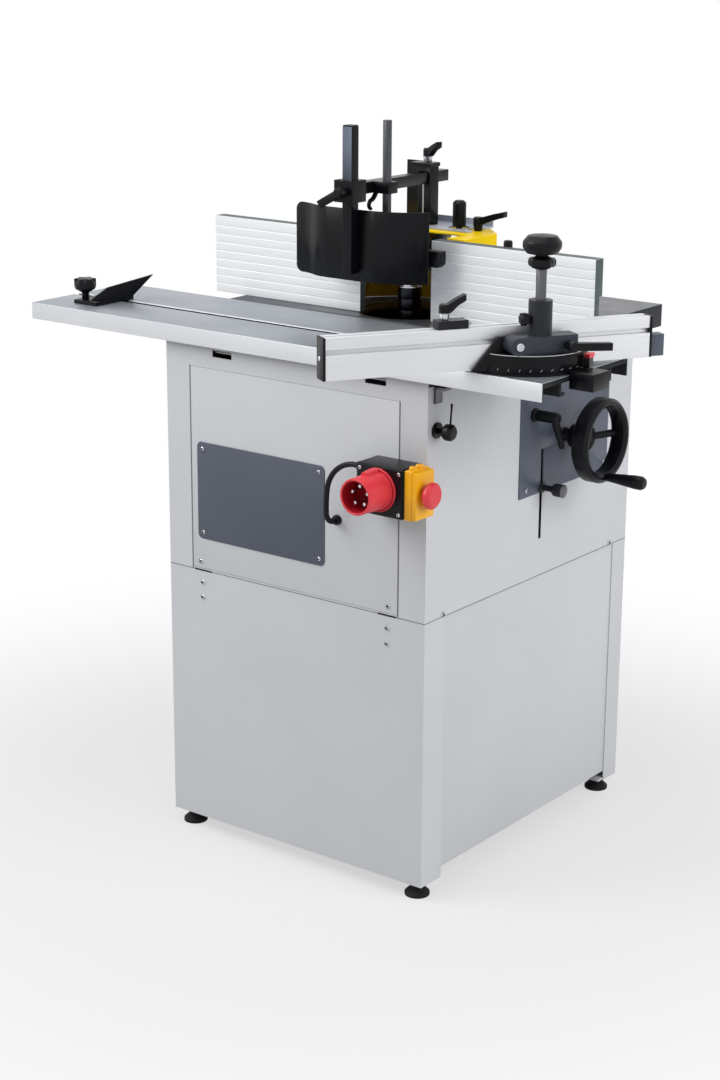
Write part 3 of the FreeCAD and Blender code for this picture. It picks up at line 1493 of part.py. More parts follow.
def make_gauge():
    """Make the fixed disc with its pointer block, the swivel base with its gusset and the clamping arm."""
    disc = rod(pivot_x, pivot_y, table_top, s.disc_radius, s.disc_thick)
    pin = rod(pivot_x, pivot_y, table_top, s.disc_pin, s.disc_thick + s.swivel_gap + s.swivel_thick)
    pointer = box(slide_end, slide_y + s.pointer_back, segment_z - s.pointer_height,
                  s.pointer_length, s.pointer_width, s.pointer_height)
    node("gauge_disc", group(fuse(disc, pin), pointer))
    plate = rod(pivot_x, pivot_y, swivel_z, s.disc_radius, s.swivel_thick)
    segment = rod(pivot_x, pivot_y, segment_z, s.disc_radius, s.segment_thick)
    away = bar_box(-s.disc_radius * 2, s.bar_gap, segment_z, s.disc_radius * 4, s.disc_radius * 4,
                   s.segment_thick + s.overrun)
    hole = rod(pivot_x, pivot_y, swivel_z - s.overrun, s.disc_pin + s.running_gap,
               s.swivel_thick + s.overrun * 2)
    gusset = padded("XZ_Plane", [
        (-s.gusset_foot, as_length(0)),
        (-s.gusset_foot + s.gusset_length, as_length(0)),
        (-s.gusset_foot + s.gusset_length, s.gusset_height),
        (-s.gusset_head, s.gusset_height),
    ], s.gusset_thick, *by_bar(as_length(0), s.bar_gap), segment_z, BAR_TURN)
    node("gauge_base", cut(fuse(plate, cut(segment, away), gusset), hole))
    half = s.arm_height / 2
    block = padded("XZ_Plane", [
        (half - s.arm_before, as_length(0)),
        (s.arm_length - s.arm_before, as_length(0)),
        (s.arm_length - s.arm_before, s.arm_height),
        (half - s.arm_before, s.arm_height, (-s.arm_before, half)),
    ], s.arm_width, *by_bar(as_length(0), s.arm_out - s.arm_width), arm_z, BAR_TURN)
    tongue_width = s.arm_out - s.arm_width - s.bar_gap
    tongue = bar_box(-s.tongue_before, s.arm_out - s.arm_width, arm_z + s.tongue_rise,
                     s.tongue_length, tongue_width, s.tongue_height)
    socket_x, socket_y = by_bar(s.socket_along, s.arm_out - s.arm_width / 2)
    socket_z = arm_z + s.arm_height
    socket = rod(socket_x, socket_y, socket_z, s.socket_radius, s.socket_height)
    bore = rod(socket_x, socket_y, socket_z + s.socket_height - s.hold_depth, s.hold_radius + s.running_gap,
               s.hold_depth + s.overrun)
    node("gauge_arm", cut(fuse(block, tongue, socket), bore))
    hold_z = socket_z + s.socket_height - s.hold_depth + s.running_gap
    hold_top = s.hold_depth + s.hold_rise
    node("hold_rod", rod(socket_x, socket_y, hold_z, s.hold_radius, hold_top))
    collar_top = s.hold_collar_height
    neck_top = collar_top + s.hold_neck_height
    grip = [
        (0, 0),
        (s.hold_radius * 4 / 3, 0),
        (s.hold_collar, collar_top * knob_low_share),
        (s.hold_collar, collar_top * knob_high_share),
        (s.hold_neck, collar_top),
        (s.hold_neck, neck_top),
        (s.hold_grip * knob_high_share, neck_top),
        (s.hold_grip, neck_top + s.hold_grip_height * knob_low_share),
        (s.hold_grip, neck_top + s.hold_grip_height * grip_side_share),
        (s.hold_grip * knob_crown_share, neck_top + s.hold_grip_height * grip_shoulder_share),
        (0, neck_top + s.hold_grip_height),
    ]
    node("hold_knob", turned(grip, socket_x, socket_y, hold_z + hold_top))
    lever_x, lever_y = by_bar(s.gauge_lever_along, s.arm_out + s.lever_gap)
    facing = BAR_TURN.multiply(FreeCAD.Rotation(FreeCAD.Vector(1, 0, 0), 90))
    clamp_lever("gauge_lever", lever_x, lever_y, arm_z + s.gauge_lever_rise, facing, s.lever_length)


grip_side_share = 0.6
grip_shoulder_share = 0.92


def make_bar():
    """Make the grooved mitre bar, its end caps and its flip stop."""
    blank = bar_box(-s.bar_before, as_length(0), bar_z, s.bar_length, s.bar_thick, s.bar_height)
    groove_z = bar_top - s.groove_drop - s.groove_height
    start = -s.bar_before - s.overrun
    whole = s.bar_length + s.overrun * 2
    face_groove = bar_box(start, s.overrun, groove_z, whole, s.overrun + s.groove_depth, s.groove_height)
    ledge = bar_box(start, s.overrun, groove_z, whole, s.overrun + s.ledge_depth,
                    s.groove_drop + s.groove_height + s.overrun)
    back_groove = bar_box(start, -s.bar_thick + s.groove_depth, groove_z, whole,
                          s.groove_depth + s.overrun, s.groove_height)
    top_slot = bar_box(start, -s.top_slot_inset, bar_top - s.top_slot_depth, whole, s.top_slot_width,
                       s.top_slot_depth + s.overrun)
    node("mitre_bar", cut(blank, face_groove, ledge, back_groove, top_slot))
    left_end = -s.bar_before - s.cap_thick
    left_cap = bar_box(left_end, as_length(0), bar_z, s.cap_thick, s.bar_thick, s.bar_height)
    right_end = s.bar_length - s.bar_before
    right_cap = bar_box(right_end, as_length(0), bar_z, s.cap_thick, s.bar_thick, s.bar_height)
    shoe = bar_box(right_end + s.cap_thick, -s.shoe_inset, bar_z, s.shoe_length,
                   s.bar_thick - s.shoe_inset * 2, s.shoe_height)
    node("bar_end_caps", group(left_cap, right_cap, shoe))
    stop_z = bar_top + s.bar_gap
    stop_body = bar_box(-s.stop_before, -s.stop_inset, stop_z, s.stop_length,
                        s.bar_thick - s.stop_inset * 2, s.stop_height)
    key = bar_box(-s.stop_before, -s.top_slot_inset - s.bar_gap, bar_top - s.stop_key, s.stop_length,
                  s.top_slot_width - s.bar_gap * 2, s.stop_key + s.bar_gap * 2)
    node("stop_block", fuse(stop_body, key))
    lever_x, lever_y = by_bar(-s.stop_before + s.stop_lever_along, -s.bar_thick / 2)
    clamp_lever("stop_lever", lever_x, lever_y, stop_z + s.stop_height + s.lever_gap, BAR_TURN,
                s.short_lever_length)


def make_end_shoe():
    """Make the shoe at the left end of the sliding table and its clamp knob."""
    x = slide_x + s.shoe_left
    y = slide_y + s.shoe_foot_front
    z = table_top + s.slide_clearance
    foot = box(x, y, z, s.shoe_foot_length, s.shoe_foot_width, s.shoe_foot_thick)
    slot = slide_y + s.slot_inset
    half = s.slot_width / 2 - s.slide_gap
    key = box(x, slot - half, table_top - s.shoe_key_drop, s.shoe_foot_length, half * 2,
              s.shoe_key_drop + s.slide_clearance + s.shoe_foot_thick)
    fin = padded("XZ_Plane", [
        (0, 0),
        (s.shoe_fin_foot, 0),
        (s.shoe_fin_reach, s.shoe_fin_height),
        (s.shoe_fin_back, s.shoe_fin_low),
    ], s.shoe_fin_thick, x + s.shoe_foot_length / 2, y, z,
        FreeCAD.Rotation(VERTICAL, s.shoe_fin_angle.value))
    node("end_shoe", fuse(foot, key, fin))
    knob = [
        (0, 0),
        (s.shoe_knob_stem, 0),
        (s.shoe_knob_stem, s.shoe_knob_height * knob_low_share),
        (s.shoe_knob_radius, s.shoe_knob_height * knob_middle_share),
        (s.shoe_knob_radius, s.shoe_knob_height * knob_high_share),
        (s.shoe_knob_radius * knob_crown_share, s.shoe_knob_height),
        (0, s.shoe_knob_height),
    ]
    node("end_shoe_knob", turned(knob, x + s.shoe_knob_radius * knob_waist_share, y + s.shoe_knob_radius,
                                 z + s.shoe_foot_thick + s.shoe_knob_gap))


knob_middle_share = 0.5

# Places of the fence
fence_y = spindle_y - s.fence_ahead
fence_z = table_top + s.fence_lift
carrier_y = fence_y + s.fence_thick + s.carrier_gap
hood_y = carrier_y + s.carrier_thick
hood_top = fence_z + s.hood_height


def fence_plate(label, x, length):
    """Add a grooved fence plate, thinner at its foot."""
    back_low = s.fence_low_thick
    outline = [(0, 0), (0, s.fence_height)]
    low = []
    count = int(s.fence_groove_count.value)
    for index in range(count):
        z = s.fence_groove_pitch * (index + 1)
        low += [
            (0, z - s.fence_groove / 2),
            (s.fence_groove / 2, z),
            (0, z + s.fence_groove / 2),
        ]
    outline = [(0, 0)] + low + [
        (0, s.fence_height),
        (s.fence_thick, s.fence_height),
        (s.fence_thick, s.fence_step),
        (back_low, s.fence_step),
        (back_low, 0),
    ]
    node(label, padded("YZ_Plane", outline, length, x, fence_y, fence_z))


def hood_outline(inset, ahead):
    """Return the hood's plan, with its back corners cut off, inside its faces and ahead of its open front."""
    half = s.hood_half - inset
    deep = s.hood_depth - inset
    cut_off = s.hood_corner - inset * corner_wall_share
    return [
        (-half, -ahead),
        (half, -ahead),
        (half, deep - cut_off),
        (half - cut_off, deep),
        (cut_off - half, deep),
        (-half, deep - cut_off),
    ]


corner_wall_share = 2 - math.sqrt(2)


def make_fence():
    """Make the fence plates, their carrier, the hood with its dust outlet, and its controls."""
    fence_plate("fence_plate_left", spindle_x - s.left_plate_gap - s.left_plate_length, s.left_plate_length)
    fence_plate("fence_plate_right", spindle_x + s.right_plate_gap, s.right_plate_length)
    carrier = box(spindle_x - s.carrier_left, carrier_y, fence_z, s.carrier_left + s.carrier_right,
                  s.carrier_thick, s.carrier_height)
    window = box(spindle_x - s.window_half, carrier_y - s.overrun, fence_z - s.overrun,
                 s.window_half * 2, s.carrier_thick + s.overrun * 2, s.carrier_height + s.overrun * 2)
    node("fence_carrier", cut(carrier, window))
    outside = hood_outline(as_length(0), as_length(0))
    hood = padded("XY_Plane", outside, s.hood_height, spindle_x, hood_y, fence_z)
    inside = padded("XY_Plane", hood_outline(s.hood_wall, s.overrun), s.hood_height - s.hood_wall + s.overrun,
                    spindle_x, hood_y, fence_z - s.overrun)
    hood_back = hood_y + s.hood_depth
    outlet_z = fence_z + s.outlet_rise
    mouth = rod(spindle_x, hood_back - s.overrun * 2, outlet_z, s.outlet_radius - s.outlet_wall,
                s.overrun * 3, "y")
    roof_gap = box(spindle_x - s.window_half, hood_y - s.overrun, hood_top - s.hood_wall - s.overrun,
                   s.window_half * 2, s.hood_roof_inset + s.overrun, s.hood_wall + s.overrun * 2)
    node("fence_hood", cut(hood, inside, mouth, roof_gap))
    flange = rod(spindle_x, hood_back, outlet_z, s.outlet_flange, s.outlet_flange_thick, "y")
    pipe = rod(spindle_x, hood_back, outlet_z, s.outlet_radius, s.outlet_length, "y")
    bore = rod(spindle_x, hood_back - s.overrun, outlet_z, s.outlet_radius - s.outlet_wall,
               s.outlet_length + s.overrun * 2, "y")
    node("dust_outlet", cut(fuse(flange, pipe), bore))
    clamp_lever("fence_lever", spindle_x + s.fence_lever_across, spindle_y + s.fence_lever_back,
                hood_top + s.lever_gap, UPRIGHT, s.lever_length)
    knob = [
        (0, 0),
        (s.adjust_stem, 0),
        (s.adjust_stem, s.adjust_height * stem_share),
        (s.adjust_radius, s.adjust_height * stem_share),
        (s.adjust_radius, s.adjust_height - s.adjust_round),
        (s.adjust_radius - s.adjust_round, s.adjust_height),
        (0, s.adjust_height),
    ]
    node("adjust_knob", turned(knob, spindle_x + s.adjust_across, spindle_y + s.fence_lever_back,
                               hood_top + s.lever_gap))


stem_share = 0.08


def make_guard():
    """Make the guard post, its arm, the hand guard and the presser on its rod."""
    post_x = spindle_x + s.post_across
    post_y = spindle_y + s.post_back
    arm_half = s.guard_arm_side / 2
    hole_half = arm_half + s.guard_arm_gap
    post = box(post_x - s.post_width / 2, post_y - s.post_depth / 2, hood_top,
               s.post_width, s.post_depth, post_top - hood_top)
    sheet = box(post_x - s.back_plate_left, post_y + s.post_depth / 2, hood_top,
                s.back_plate_left + s.post_width / 2, s.back_plate_thick, post_top - hood_top)
    way = box(post_x - hole_half, post_y - s.post_depth, arm_centre - hole_half,
              hole_half * 2, s.post_depth * 2, hole_half * 2)
    node("guard_post", cut(fuse(post, sheet), way))
    tube_x = spindle_x + s.tube_across
    tube_y = post_y - s.tube_ahead
    bar = box(post_x - arm_half, tube_y, arm_centre - arm_half, s.guard_arm_side,
              s.tube_ahead + s.guard_arm_behind, s.guard_arm_side)
    clamp = box(tube_x - s.clamp_left, tube_y - s.clamp_ahead, arm_centre - s.clamp_height / 2,
                s.clamp_width, s.clamp_ahead + s.clamp_behind, s.clamp_height)
    rod_x = spindle_x + s.rod_across
    rod_y = spindle_y - s.rod_ahead
    lug = box(post_x, rod_y - s.rod_lug, arm_centre - arm_half, rod_x + s.rod_lug - post_x,
              s.rod_lug * 2, s.guard_arm_side)
    tube_half = s.tube_side / 2
    slack = tube_half + s.guard_arm_gap
    tube_hole = box(tube_x - slack, tube_y - slack, arm_centre - s.clamp_height,
                    slack * 2, slack * 2, s.clamp_height * 2)
    rod_hole = rod(rod_x, rod_y, arm_centre - s.guard_arm_side, s.rod_radius + s.running_gap,
                   s.guard_arm_side * 2)
    node("guard_arm", cut(fuse(bar, clamp, lug), tube_hole, rod_hole))
    tube = box(tube_x - tube_half, tube_y - tube_half, tube_foot, s.tube_side, s.tube_side,
               tube_top - tube_foot)
    clear = s.tube_side - s.tube_wall * 2
    hollow = box(tube_x - clear / 2, tube_y - clear / 2, tube_foot - s.overrun, clear, clear,
                 tube_top - tube_foot - s.tube_wall + s.overrun)
    plate = make_guard_plate(tube_x, tube_y + tube_half)
    node("hand_guard", group(cut(tube, hollow), plate))
    rod_foot = press_z + s.press_floor
    node("press_rod", rod(rod_x, rod_y, rod_foot, s.rod_radius, rod_top - rod_foot))
    press = padded("XZ_Plane", [
        (-s.press_left, s.press_round),
        (-s.press_left + s.press_round, as_length(0)),
        (s.press_right - s.press_round, as_length(0)),
        (s.press_right, s.press_round),
        (s.press_right, s.press_height),
        (-s.press_left, s.press_height),
    ], s.press_side * 2, rod_x, rod_y + s.press_side, press_z)
    socket = rod(rod_x, rod_y, rod_foot, s.rod_radius, s.press_height)
    node("press_shoe", cut(press, socket))
    lean = FreeCAD.Rotation(VERTICAL, s.post_lever_lean.value)
    clamp_lever("post_lever", post_x, post_y, post_top + s.lever_gap, lean, s.short_lever_length)
    droop = FreeCAD.Rotation(FreeCAD.Vector(0, 1, 0), s.tube_lever_droop.value).multiply(TURNS["-y"])
    clamp_lever("tube_lever", tube_x, tube_y - s.clamp_ahead - s.lever_gap, arm_centre, droop,
                s.short_lever_length)


def make_guard_plate(middle, y):
    """Make the curved sheet of the hand guard, standing behind its tube."""
    curl_x = -s.guard_left + (s.guard_left - s.guard_flat_left) * guard_curl_share
    curl_y = s.guard_curl * guard_mid_share
    run = [
        (-s.guard_left, s.guard_curl),
        (curl_x, curl_y),
        (-s.guard_flat_left, as_length(0)),
        (s.guard_flat_right, as_length(0)),
        (s.guard_right, s.guard_sweep),
    ]
    bulges = [
        ((run[0][0] + run[1][0]) / 2, s.guard_curl * guard_first_share),
        ((run[1][0] + run[2][0]) / 2, curl_y * guard_second_share),
        None,
        (s.guard_flat_right + (s.guard_right - s.guard_flat_right) * guard_bow_share,
         s.guard_sweep * guard_rise_share),
    ]
    last = len(run) - 1
    outline = [run[index] + ((bulges[index],) if bulges[index] else ()) for index in range(last)]
    outline.append(run[last])
    for index in range(last, 0, -1):
        u, v = run[index]
        bulge = bulges[index - 1]
        corner = (u, v + s.guard_thick)
        if bulge:
            corner += ((bulge[0], bulge[1] + s.guard_thick),)
        outline.append(corner)
    outline.append((run[0][0], run[0][1] + s.guard_thick))
    smooth = [index for index in range(1, last)] + [index + last + 1 for index in range(1, last)]
    body = padded("XY_Plane", outline, guard_high - guard_low, middle, y, guard_low, smooth=smooth)

    def left_corner(edge):
        span = s.guard_thick.value
        flat = edge.BoundBox.ZLength < span
        return flat and edge.Length < span * 2 and edge.BoundBox.XMax < span - s.guard_left.value

    return round_edges(body, s.guard_corner, left_corner)


guard_curl_share = 0.54
guard_mid_share = 0.47
guard_first_share = 0.9
guard_second_share = 0.27
guard_bow_share = 0.6
guard_rise_share = 0.3


def check_and_write():
    """Check every object, then write each sub-part to its own file."""
    doc.recompute()
    for thing in doc.Objects:
        if "Invalid" in thing.State or "Error" in thing.State:
            raise RuntimeError(f"{thing.Label} ({thing.TypeId}) failed: {thing.State}")
    for thing in NODES:
        if thing.Shape.isNull() or not thing.Shape.isValid() or not thing.Shape.Solids:
            raise RuntimeError(f"{thing.Label} has no valid solid")
    os.makedirs("parts", exist_ok=True)
    whole = FreeCAD.BoundBox()
    for thing in NODES:
        whole.add(thing.Shape.BoundBox)
        thing.Shape.exportStep(f"parts/{thing.Label}.step")
    print(len(NODES), "sub-parts, box", whole)


make_lower_cabinet()
make_upper_cabinet()
make_plates()
make_feet()
make_screws()
make_table()
make_slide()
make_table_lock()
make_columns()
lock_stud_x = make_carriage()
make_spindle()
make_motor()
make_belt()
make_lift()
make_handwheel()
make_height_lock(lock_stud_x)
make_switch()
make_gauge()
make_bar()
make_end_shoe()
make_fence()
make_guard()
check_and_write()
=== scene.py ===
"""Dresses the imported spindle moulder: its finishes, its small fittings, its studio and its camera."""
import json
import logging
import math
from collections.abc import Callable, Sequence
from dataclasses import dataclass
from enum import Enum

import bmesh
import bpy
from mathutils import Matrix, Vector

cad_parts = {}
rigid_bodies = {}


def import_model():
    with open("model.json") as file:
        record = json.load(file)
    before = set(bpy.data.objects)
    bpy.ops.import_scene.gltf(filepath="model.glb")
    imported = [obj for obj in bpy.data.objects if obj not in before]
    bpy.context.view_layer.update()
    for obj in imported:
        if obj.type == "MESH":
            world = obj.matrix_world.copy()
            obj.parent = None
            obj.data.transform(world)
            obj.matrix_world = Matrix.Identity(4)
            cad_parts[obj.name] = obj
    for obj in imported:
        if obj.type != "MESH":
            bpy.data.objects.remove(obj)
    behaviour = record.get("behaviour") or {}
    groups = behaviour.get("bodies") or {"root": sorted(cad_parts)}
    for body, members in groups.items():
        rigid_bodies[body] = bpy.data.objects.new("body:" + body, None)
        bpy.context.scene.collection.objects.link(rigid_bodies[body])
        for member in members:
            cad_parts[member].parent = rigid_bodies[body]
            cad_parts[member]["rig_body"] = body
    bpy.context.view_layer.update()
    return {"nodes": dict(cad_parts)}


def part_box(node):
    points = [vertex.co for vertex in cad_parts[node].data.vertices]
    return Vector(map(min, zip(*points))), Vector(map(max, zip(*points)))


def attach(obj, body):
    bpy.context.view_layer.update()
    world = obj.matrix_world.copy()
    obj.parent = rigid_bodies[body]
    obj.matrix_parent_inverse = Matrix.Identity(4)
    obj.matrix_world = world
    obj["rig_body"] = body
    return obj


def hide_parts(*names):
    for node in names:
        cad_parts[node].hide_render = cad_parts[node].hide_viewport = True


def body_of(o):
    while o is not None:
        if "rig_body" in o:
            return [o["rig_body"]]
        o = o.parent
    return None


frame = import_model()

Place = tuple[float, float, float]
Span = tuple[float, float]
Profile = tuple[Span, ...]
Spots = Sequence[tuple[Vector, Vector]]

LOG = logging.getLogger("spindle_moulder")
MM = 0.001
ORIGIN = Vector((0.0, 0.0, 0.0))
X_AXIS = Vector((1.0, 0.0, 0.0))
Y_AXIS = Vector((0.0, 1.0, 0.0))
Z_AXIS = Vector((0.0, 0.0, 1.0))
# Points closer than this, in metres, are one point: in the CAD meshes, and in pieces made here
CAD_WELD = 1e-6
FINE_WELD = 1e-7
# Faces that differ by less than this are one flat face
FLAT_DEG = 0.4
# Edges sharper than this are rounded, or stay sharp where nothing is rounded
SHARP_DEG = 32.0
# A face whose normal keeps to an axis by more than this faces along it
FACING = 0.9
DRILL_REACH_MM = 40.0
# Screws stop at any angle up to this, by chance
SCREW_TURN_DEG = 80.0
TURN_SEED = 7
# How far up a clamp lever's bright neck reaches
NECK_MM = 9.0
# The mitre bar's direction, its way out from the pivot, and the pivot
BAR_DEG = 58.3
BAR_OUT_MM = 40.0
PIVOT_MM = (624.0, 80.0)


def linear(code: str) -> tuple[float, float, float, float]:
    """Turn an sRGB hex code into linear colour.

    Args:
        code: Six hex digits, with or without a leading mark.

    Returns:
        Red, green, blue and an opaque alpha.
    """
    digits = code.lstrip("#")
    parts = [int(digits[i:i + 2], 16) / 255 for i in (0, 2, 4)]
    red, green, blue = [p / 12.92 if p <= 0.04045 else ((p + 0.055) / 1.055) ** 2.4 for p in parts]
    return red, green, blue, 1.0


def add_node(tree: bpy.types.NodeTree, kind: str, inputs: dict | None = None, **settings) -> bpy.types.Node:
    """Add a node with its settings, its constants and its links.

    Args:
        tree: The node tree that gets the node.
        kind: Blender's name of the node's type.
        inputs: Socket name or number, to a constant or to the socket that feeds it.
        settings: The node's own properties.

    Returns:
        The new node.
    """
    made = tree.nodes.new(kind)
    for key, value in settings.items():
        setattr(made, key, value)
    for key, value in (inputs or {}).items():
        if isinstance(value, bpy.types.NodeSocket):
            tree.links.new(value, made.inputs[key])
        else:
            made.inputs[key].default_value = value
    return made


def spread(tree: bpy.types.NodeTree, value: bpy.types.NodeSocket, given: Span, wanted: Span,
           **settings) -> bpy.types.NodeSocket:
    """Map a value from one span onto another.

    Args:
        tree: The node tree that does it.
        value: The value.
        given: The span that the value comes from.
        wanted: What the ends of that span become.
        settings: The node's own properties.

    Returns:
        The mapped value.
    """
    return add_node(tree, "ShaderNodeMapRange", {
        "Value": value, "From Min": given[0], "From Max": given[1], "To Min": wanted[0], "To Max": wanted[1],
    }, **settings).outputs["Result"]


class Pattern(Enum):
    """How a surface was made, which gives its fine pattern."""

    SPRAYED = "powder coat that flowed into a soft orange peel"
    BRUSHED = "lines of a belt or of an extrusion die"
    MOULDED = "the spark-eroded grain of a mould"
    CAST = "the sand of a mould"


class Edge(Enum):
    """How an edge is rounded: the width in millimetres, and the facets across it."""

    BARE = (0.0, 2)
    SLOT = (0.15, 1)
    HAIR = (0.2, 2)
    FACED = (0.3, 2)
    TURNED = (0.4, 2)
    CUT = (0.5, 2)
    SAWN = (0.6, 2)
    LIP = (0.7, 2)
    SHEET = (0.8, 2)
    LUG = (0.8, 3)
    LID = (0.9, 3)
    CORNER = (1.0, 3)
    CAST = (1.2, 2)
    GRIP = (1.2, 3)
    FULL = (1.6, 3)


# How much finer detail a noise holds, and how strong that detail is
SOFT_DETAIL, SOFT_ROUGHNESS = 2.0, 0.5
SAND_DETAIL, SAND_ROUGHNESS = 6.0, 0.65
CLOUD_DETAIL = 5.0
# Spans of the patterns' sum that run from colour to shade, and from smooth to rough
COLOUR_SPAN = (0.65, 1.35)
ROUGH_SPAN = (0.6, 1.4)
CLOUDS_IN_FADE = 0.15


@dataclass(frozen=True)
class Finish:
    """One finish, with its pattern's sizes in millimetres.

    The fine pattern gives roughness and relief, and the broad clouds give the colour its variation.
    """

    name: str
    slot: str
    colour: str
    shade: str
    pattern: Pattern
    roughness: Span
    grain_mm: Place
    relief_mm: float
    cloud_mm: float
    metallic: float = 0.0
    turn_deg: float = 0.0
    specular: float = 0.5
    # Heights over which the colour turns into the shade, used for a painted sheen
    fade_mm: Span | None = None

    def material(self) -> bpy.types.Material:
        """Make the finish's material once, and give the same one afterwards.

        Returns:
            The material.
        """
        found = bpy.data.materials.get(self.name)
        if found is not None:
            return found
        made = bpy.data.materials.new(self.name)
        made.use_nodes = True
        tree = made.node_tree
        tree.nodes.clear()
        coords = add_node(tree, "ShaderNodeTexCoord").outputs["Object"]
        fine = self.fine_pattern(tree, coords)
        clouds = add_node(tree, "ShaderNodeTexNoise", {
            "Vector": coords, "Scale": 1.0 / (self.cloud_mm * MM), "Detail": CLOUD_DETAIL,
        }).outputs["Fac"]
        both = add_node(tree, "ShaderNodeMath", {0: clouds, 1: fine}, operation="ADD").outputs[0]
        share = spread(tree, both, COLOUR_SPAN, (0.0, 1.0))
        if self.fade_mm is not None:
            share = self.fading(tree, coords, share)
        # Sockets 6 and 7 hold the two colours that are mixed
        colour = add_node(tree, "ShaderNodeMix", {
            0: share, 6: linear(self.colour), 7: linear(self.shade),
        }, data_type="RGBA").outputs[2]
        relief = add_node(tree, "ShaderNodeBump", {
            "Height": fine, "Distance": self.relief_mm * MM, "Strength": 1.0,
        }).outputs["Normal"]
        settings = {
            "Base Color": colour, "Roughness": spread(tree, both, ROUGH_SPAN, self.roughness),
            "Normal": relief, "Metallic": self.metallic,
        }
        if self.metallic == 0.0:
            settings["Specular IOR Level"] = self.specular
        surface = add_node(tree, "ShaderNodeBsdfPrincipled", settings)
        add_node(tree, "ShaderNodeOutputMaterial", {"Surface": surface.outputs["BSDF"]})
        return made

    def fine_pattern(self, tree: bpy.types.NodeTree, coords: bpy.types.NodeSocket) -> bpy.types.NodeSocket:
        """Lay the fine pattern that the way of making left.

        Args:
            tree: The material's tree.
            coords: The object's coordinates.

        Returns:
            The pattern's height.
        """
        laid = add_node(tree, "ShaderNodeMapping", {
            "Vector": coords,
            "Rotation": (0.0, 0.0, math.radians(self.turn_deg)),
            "Scale": tuple(size * MM for size in self.grain_mm),
        }, vector_type="TEXTURE").outputs["Vector"]
        if self.pattern is Pattern.MOULDED:
            return add_node(tree, "ShaderNodeTexVoronoi", {
                "Vector": laid, "Scale": 1.0,
            }, feature="SMOOTH_F1").outputs["Distance"]
        sandy = self.pattern is Pattern.CAST
        return add_node(tree, "ShaderNodeTexNoise", {
            "Vector": laid, "Scale": 1.0,
            "Detail": SAND_DETAIL if sandy else SOFT_DETAIL,
            "Roughness": SAND_ROUGHNESS if sandy else SOFT_ROUGHNESS,
        }).outputs["Fac"]

    def fading(self, tree: bpy.types.NodeTree, coords: bpy.types.NodeSocket,
               clouds: bpy.types.NodeSocket) -> bpy.types.NodeSocket:
        """Let the shade take over below a height, with a little of the clouds left in it, so that a painted
        sheen shows only above it.

        Args:
            tree: The material's tree.
            coords: The object's coordinates.
            clouds: The share that the clouds give.

        Returns:
            The share of the shade.
        """
        height = add_node(tree, "ShaderNodeSeparateXYZ", {"Vector": coords}).outputs["Z"]
        low, high = self.fade_mm
        fall = spread(tree, height, (low * MM, high * MM), (1.0, 0.0))
        return add_node(tree, "ShaderNodeMath", {0: clouds, 1: CLOUDS_IN_FADE, 2: fall},
                        operation="MULTIPLY_ADD", use_clamp=True).outputs[0]


# Powder-coated steel sheet: satin, with an orange peel of about 1.5 mm, drawn broader so that it shows
BROAD_PEEL = (3.0, 3.0, 3.0)
PEEL = (2.4, 2.4, 2.4)
CABINET_PAINT = Finish("light_grey_powder_coat", "cabinet_paint", "CDCFD3", "C7C9CE", Pattern.SPRAYED,
                       (0.36, 0.46), BROAD_PEEL, 0.05, 160.0)
# Painted shade: a dark copy of the cabinet paint for the cabinet's inner faces, where little light reaches
PAINTED_SHADE_INSIDE = Finish("painted_shade_inside_cabinet", "cabinet_paint", "2B2C30", "232428", Pattern.SPRAYED,
                     (0.60, 0.75), BROAD_PEEL, 0.05, 160.0, specular=0.2)
SLATE_PAINT = Finish("slate_powder_coat", "slate_paint", "4B515F", "454B59", Pattern.SPRAYED,
                     (0.40, 0.52), PEEL, 0.06, 90.0)
BLACK_PAINT = Finish("black_satin_paint", "black_paint", "0D0E12", "08090C", Pattern.SPRAYED,
                     (0.24, 0.32), PEEL, 0.03, 80.0, specular=0.16)
# Painted sheen: black paint that turns blue-grey high up, painting the reflection on the front of the guard's
# tube
PAINTED_TUBE_SHEEN = Finish("painted_sheen_on_black_tube", "black_paint", "6C7484", "0F1014", Pattern.SPRAYED,
                    (0.26, 0.36), PEEL, 0.03, 80.0, specular=0.16, fade_mm=(1040.0, 1135.0))
HOOD_PAINT = Finish("yellow_powder_coat", "yellow_paint", "F6D200", "EFC800", Pattern.SPRAYED,
                    (0.34, 0.44), PEEL, 0.05, 80.0, specular=0.18)
# Painted shade: a darker copy of the hood's yellow for the hood's inner faces
SHADED_HOOD_INSIDE = Finish("painted_shade_yellow_inside", "yellow_paint", "B08806", "8C6B06", Pattern.SPRAYED,
                     (0.50, 0.62), PEEL, 0.05, 60.0, specular=0.2)
GREY_PAINT = Finish("light_grey_sheet_paint", "black_paint", "A9AEBC", "9DA2B0", Pattern.SPRAYED,
                    (0.36, 0.48), PEEL, 0.05, 50.0)
MARK_PAINT = Finish("pale_marking_paint", "black_paint", "A9AAAD", "8E8F93", Pattern.SPRAYED,
                    (0.45, 0.55), PEEL, 0.02, 20.0)
JOINT_SHADOW = Finish("shadow_in_a_sheet_joint", "cabinet_paint", "7A7B80", "6A6B70", Pattern.SPRAYED,
                      (0.60, 0.75), BROAD_PEEL, 0.02, 60.0, specular=0.2)
DARK_SLATE = Finish("dark_slate_paint", "slate_paint", "343841", "2B2F38", Pattern.SPRAYED,
                    (0.34, 0.46), PEEL, 0.04, 60.0, specular=0.3)
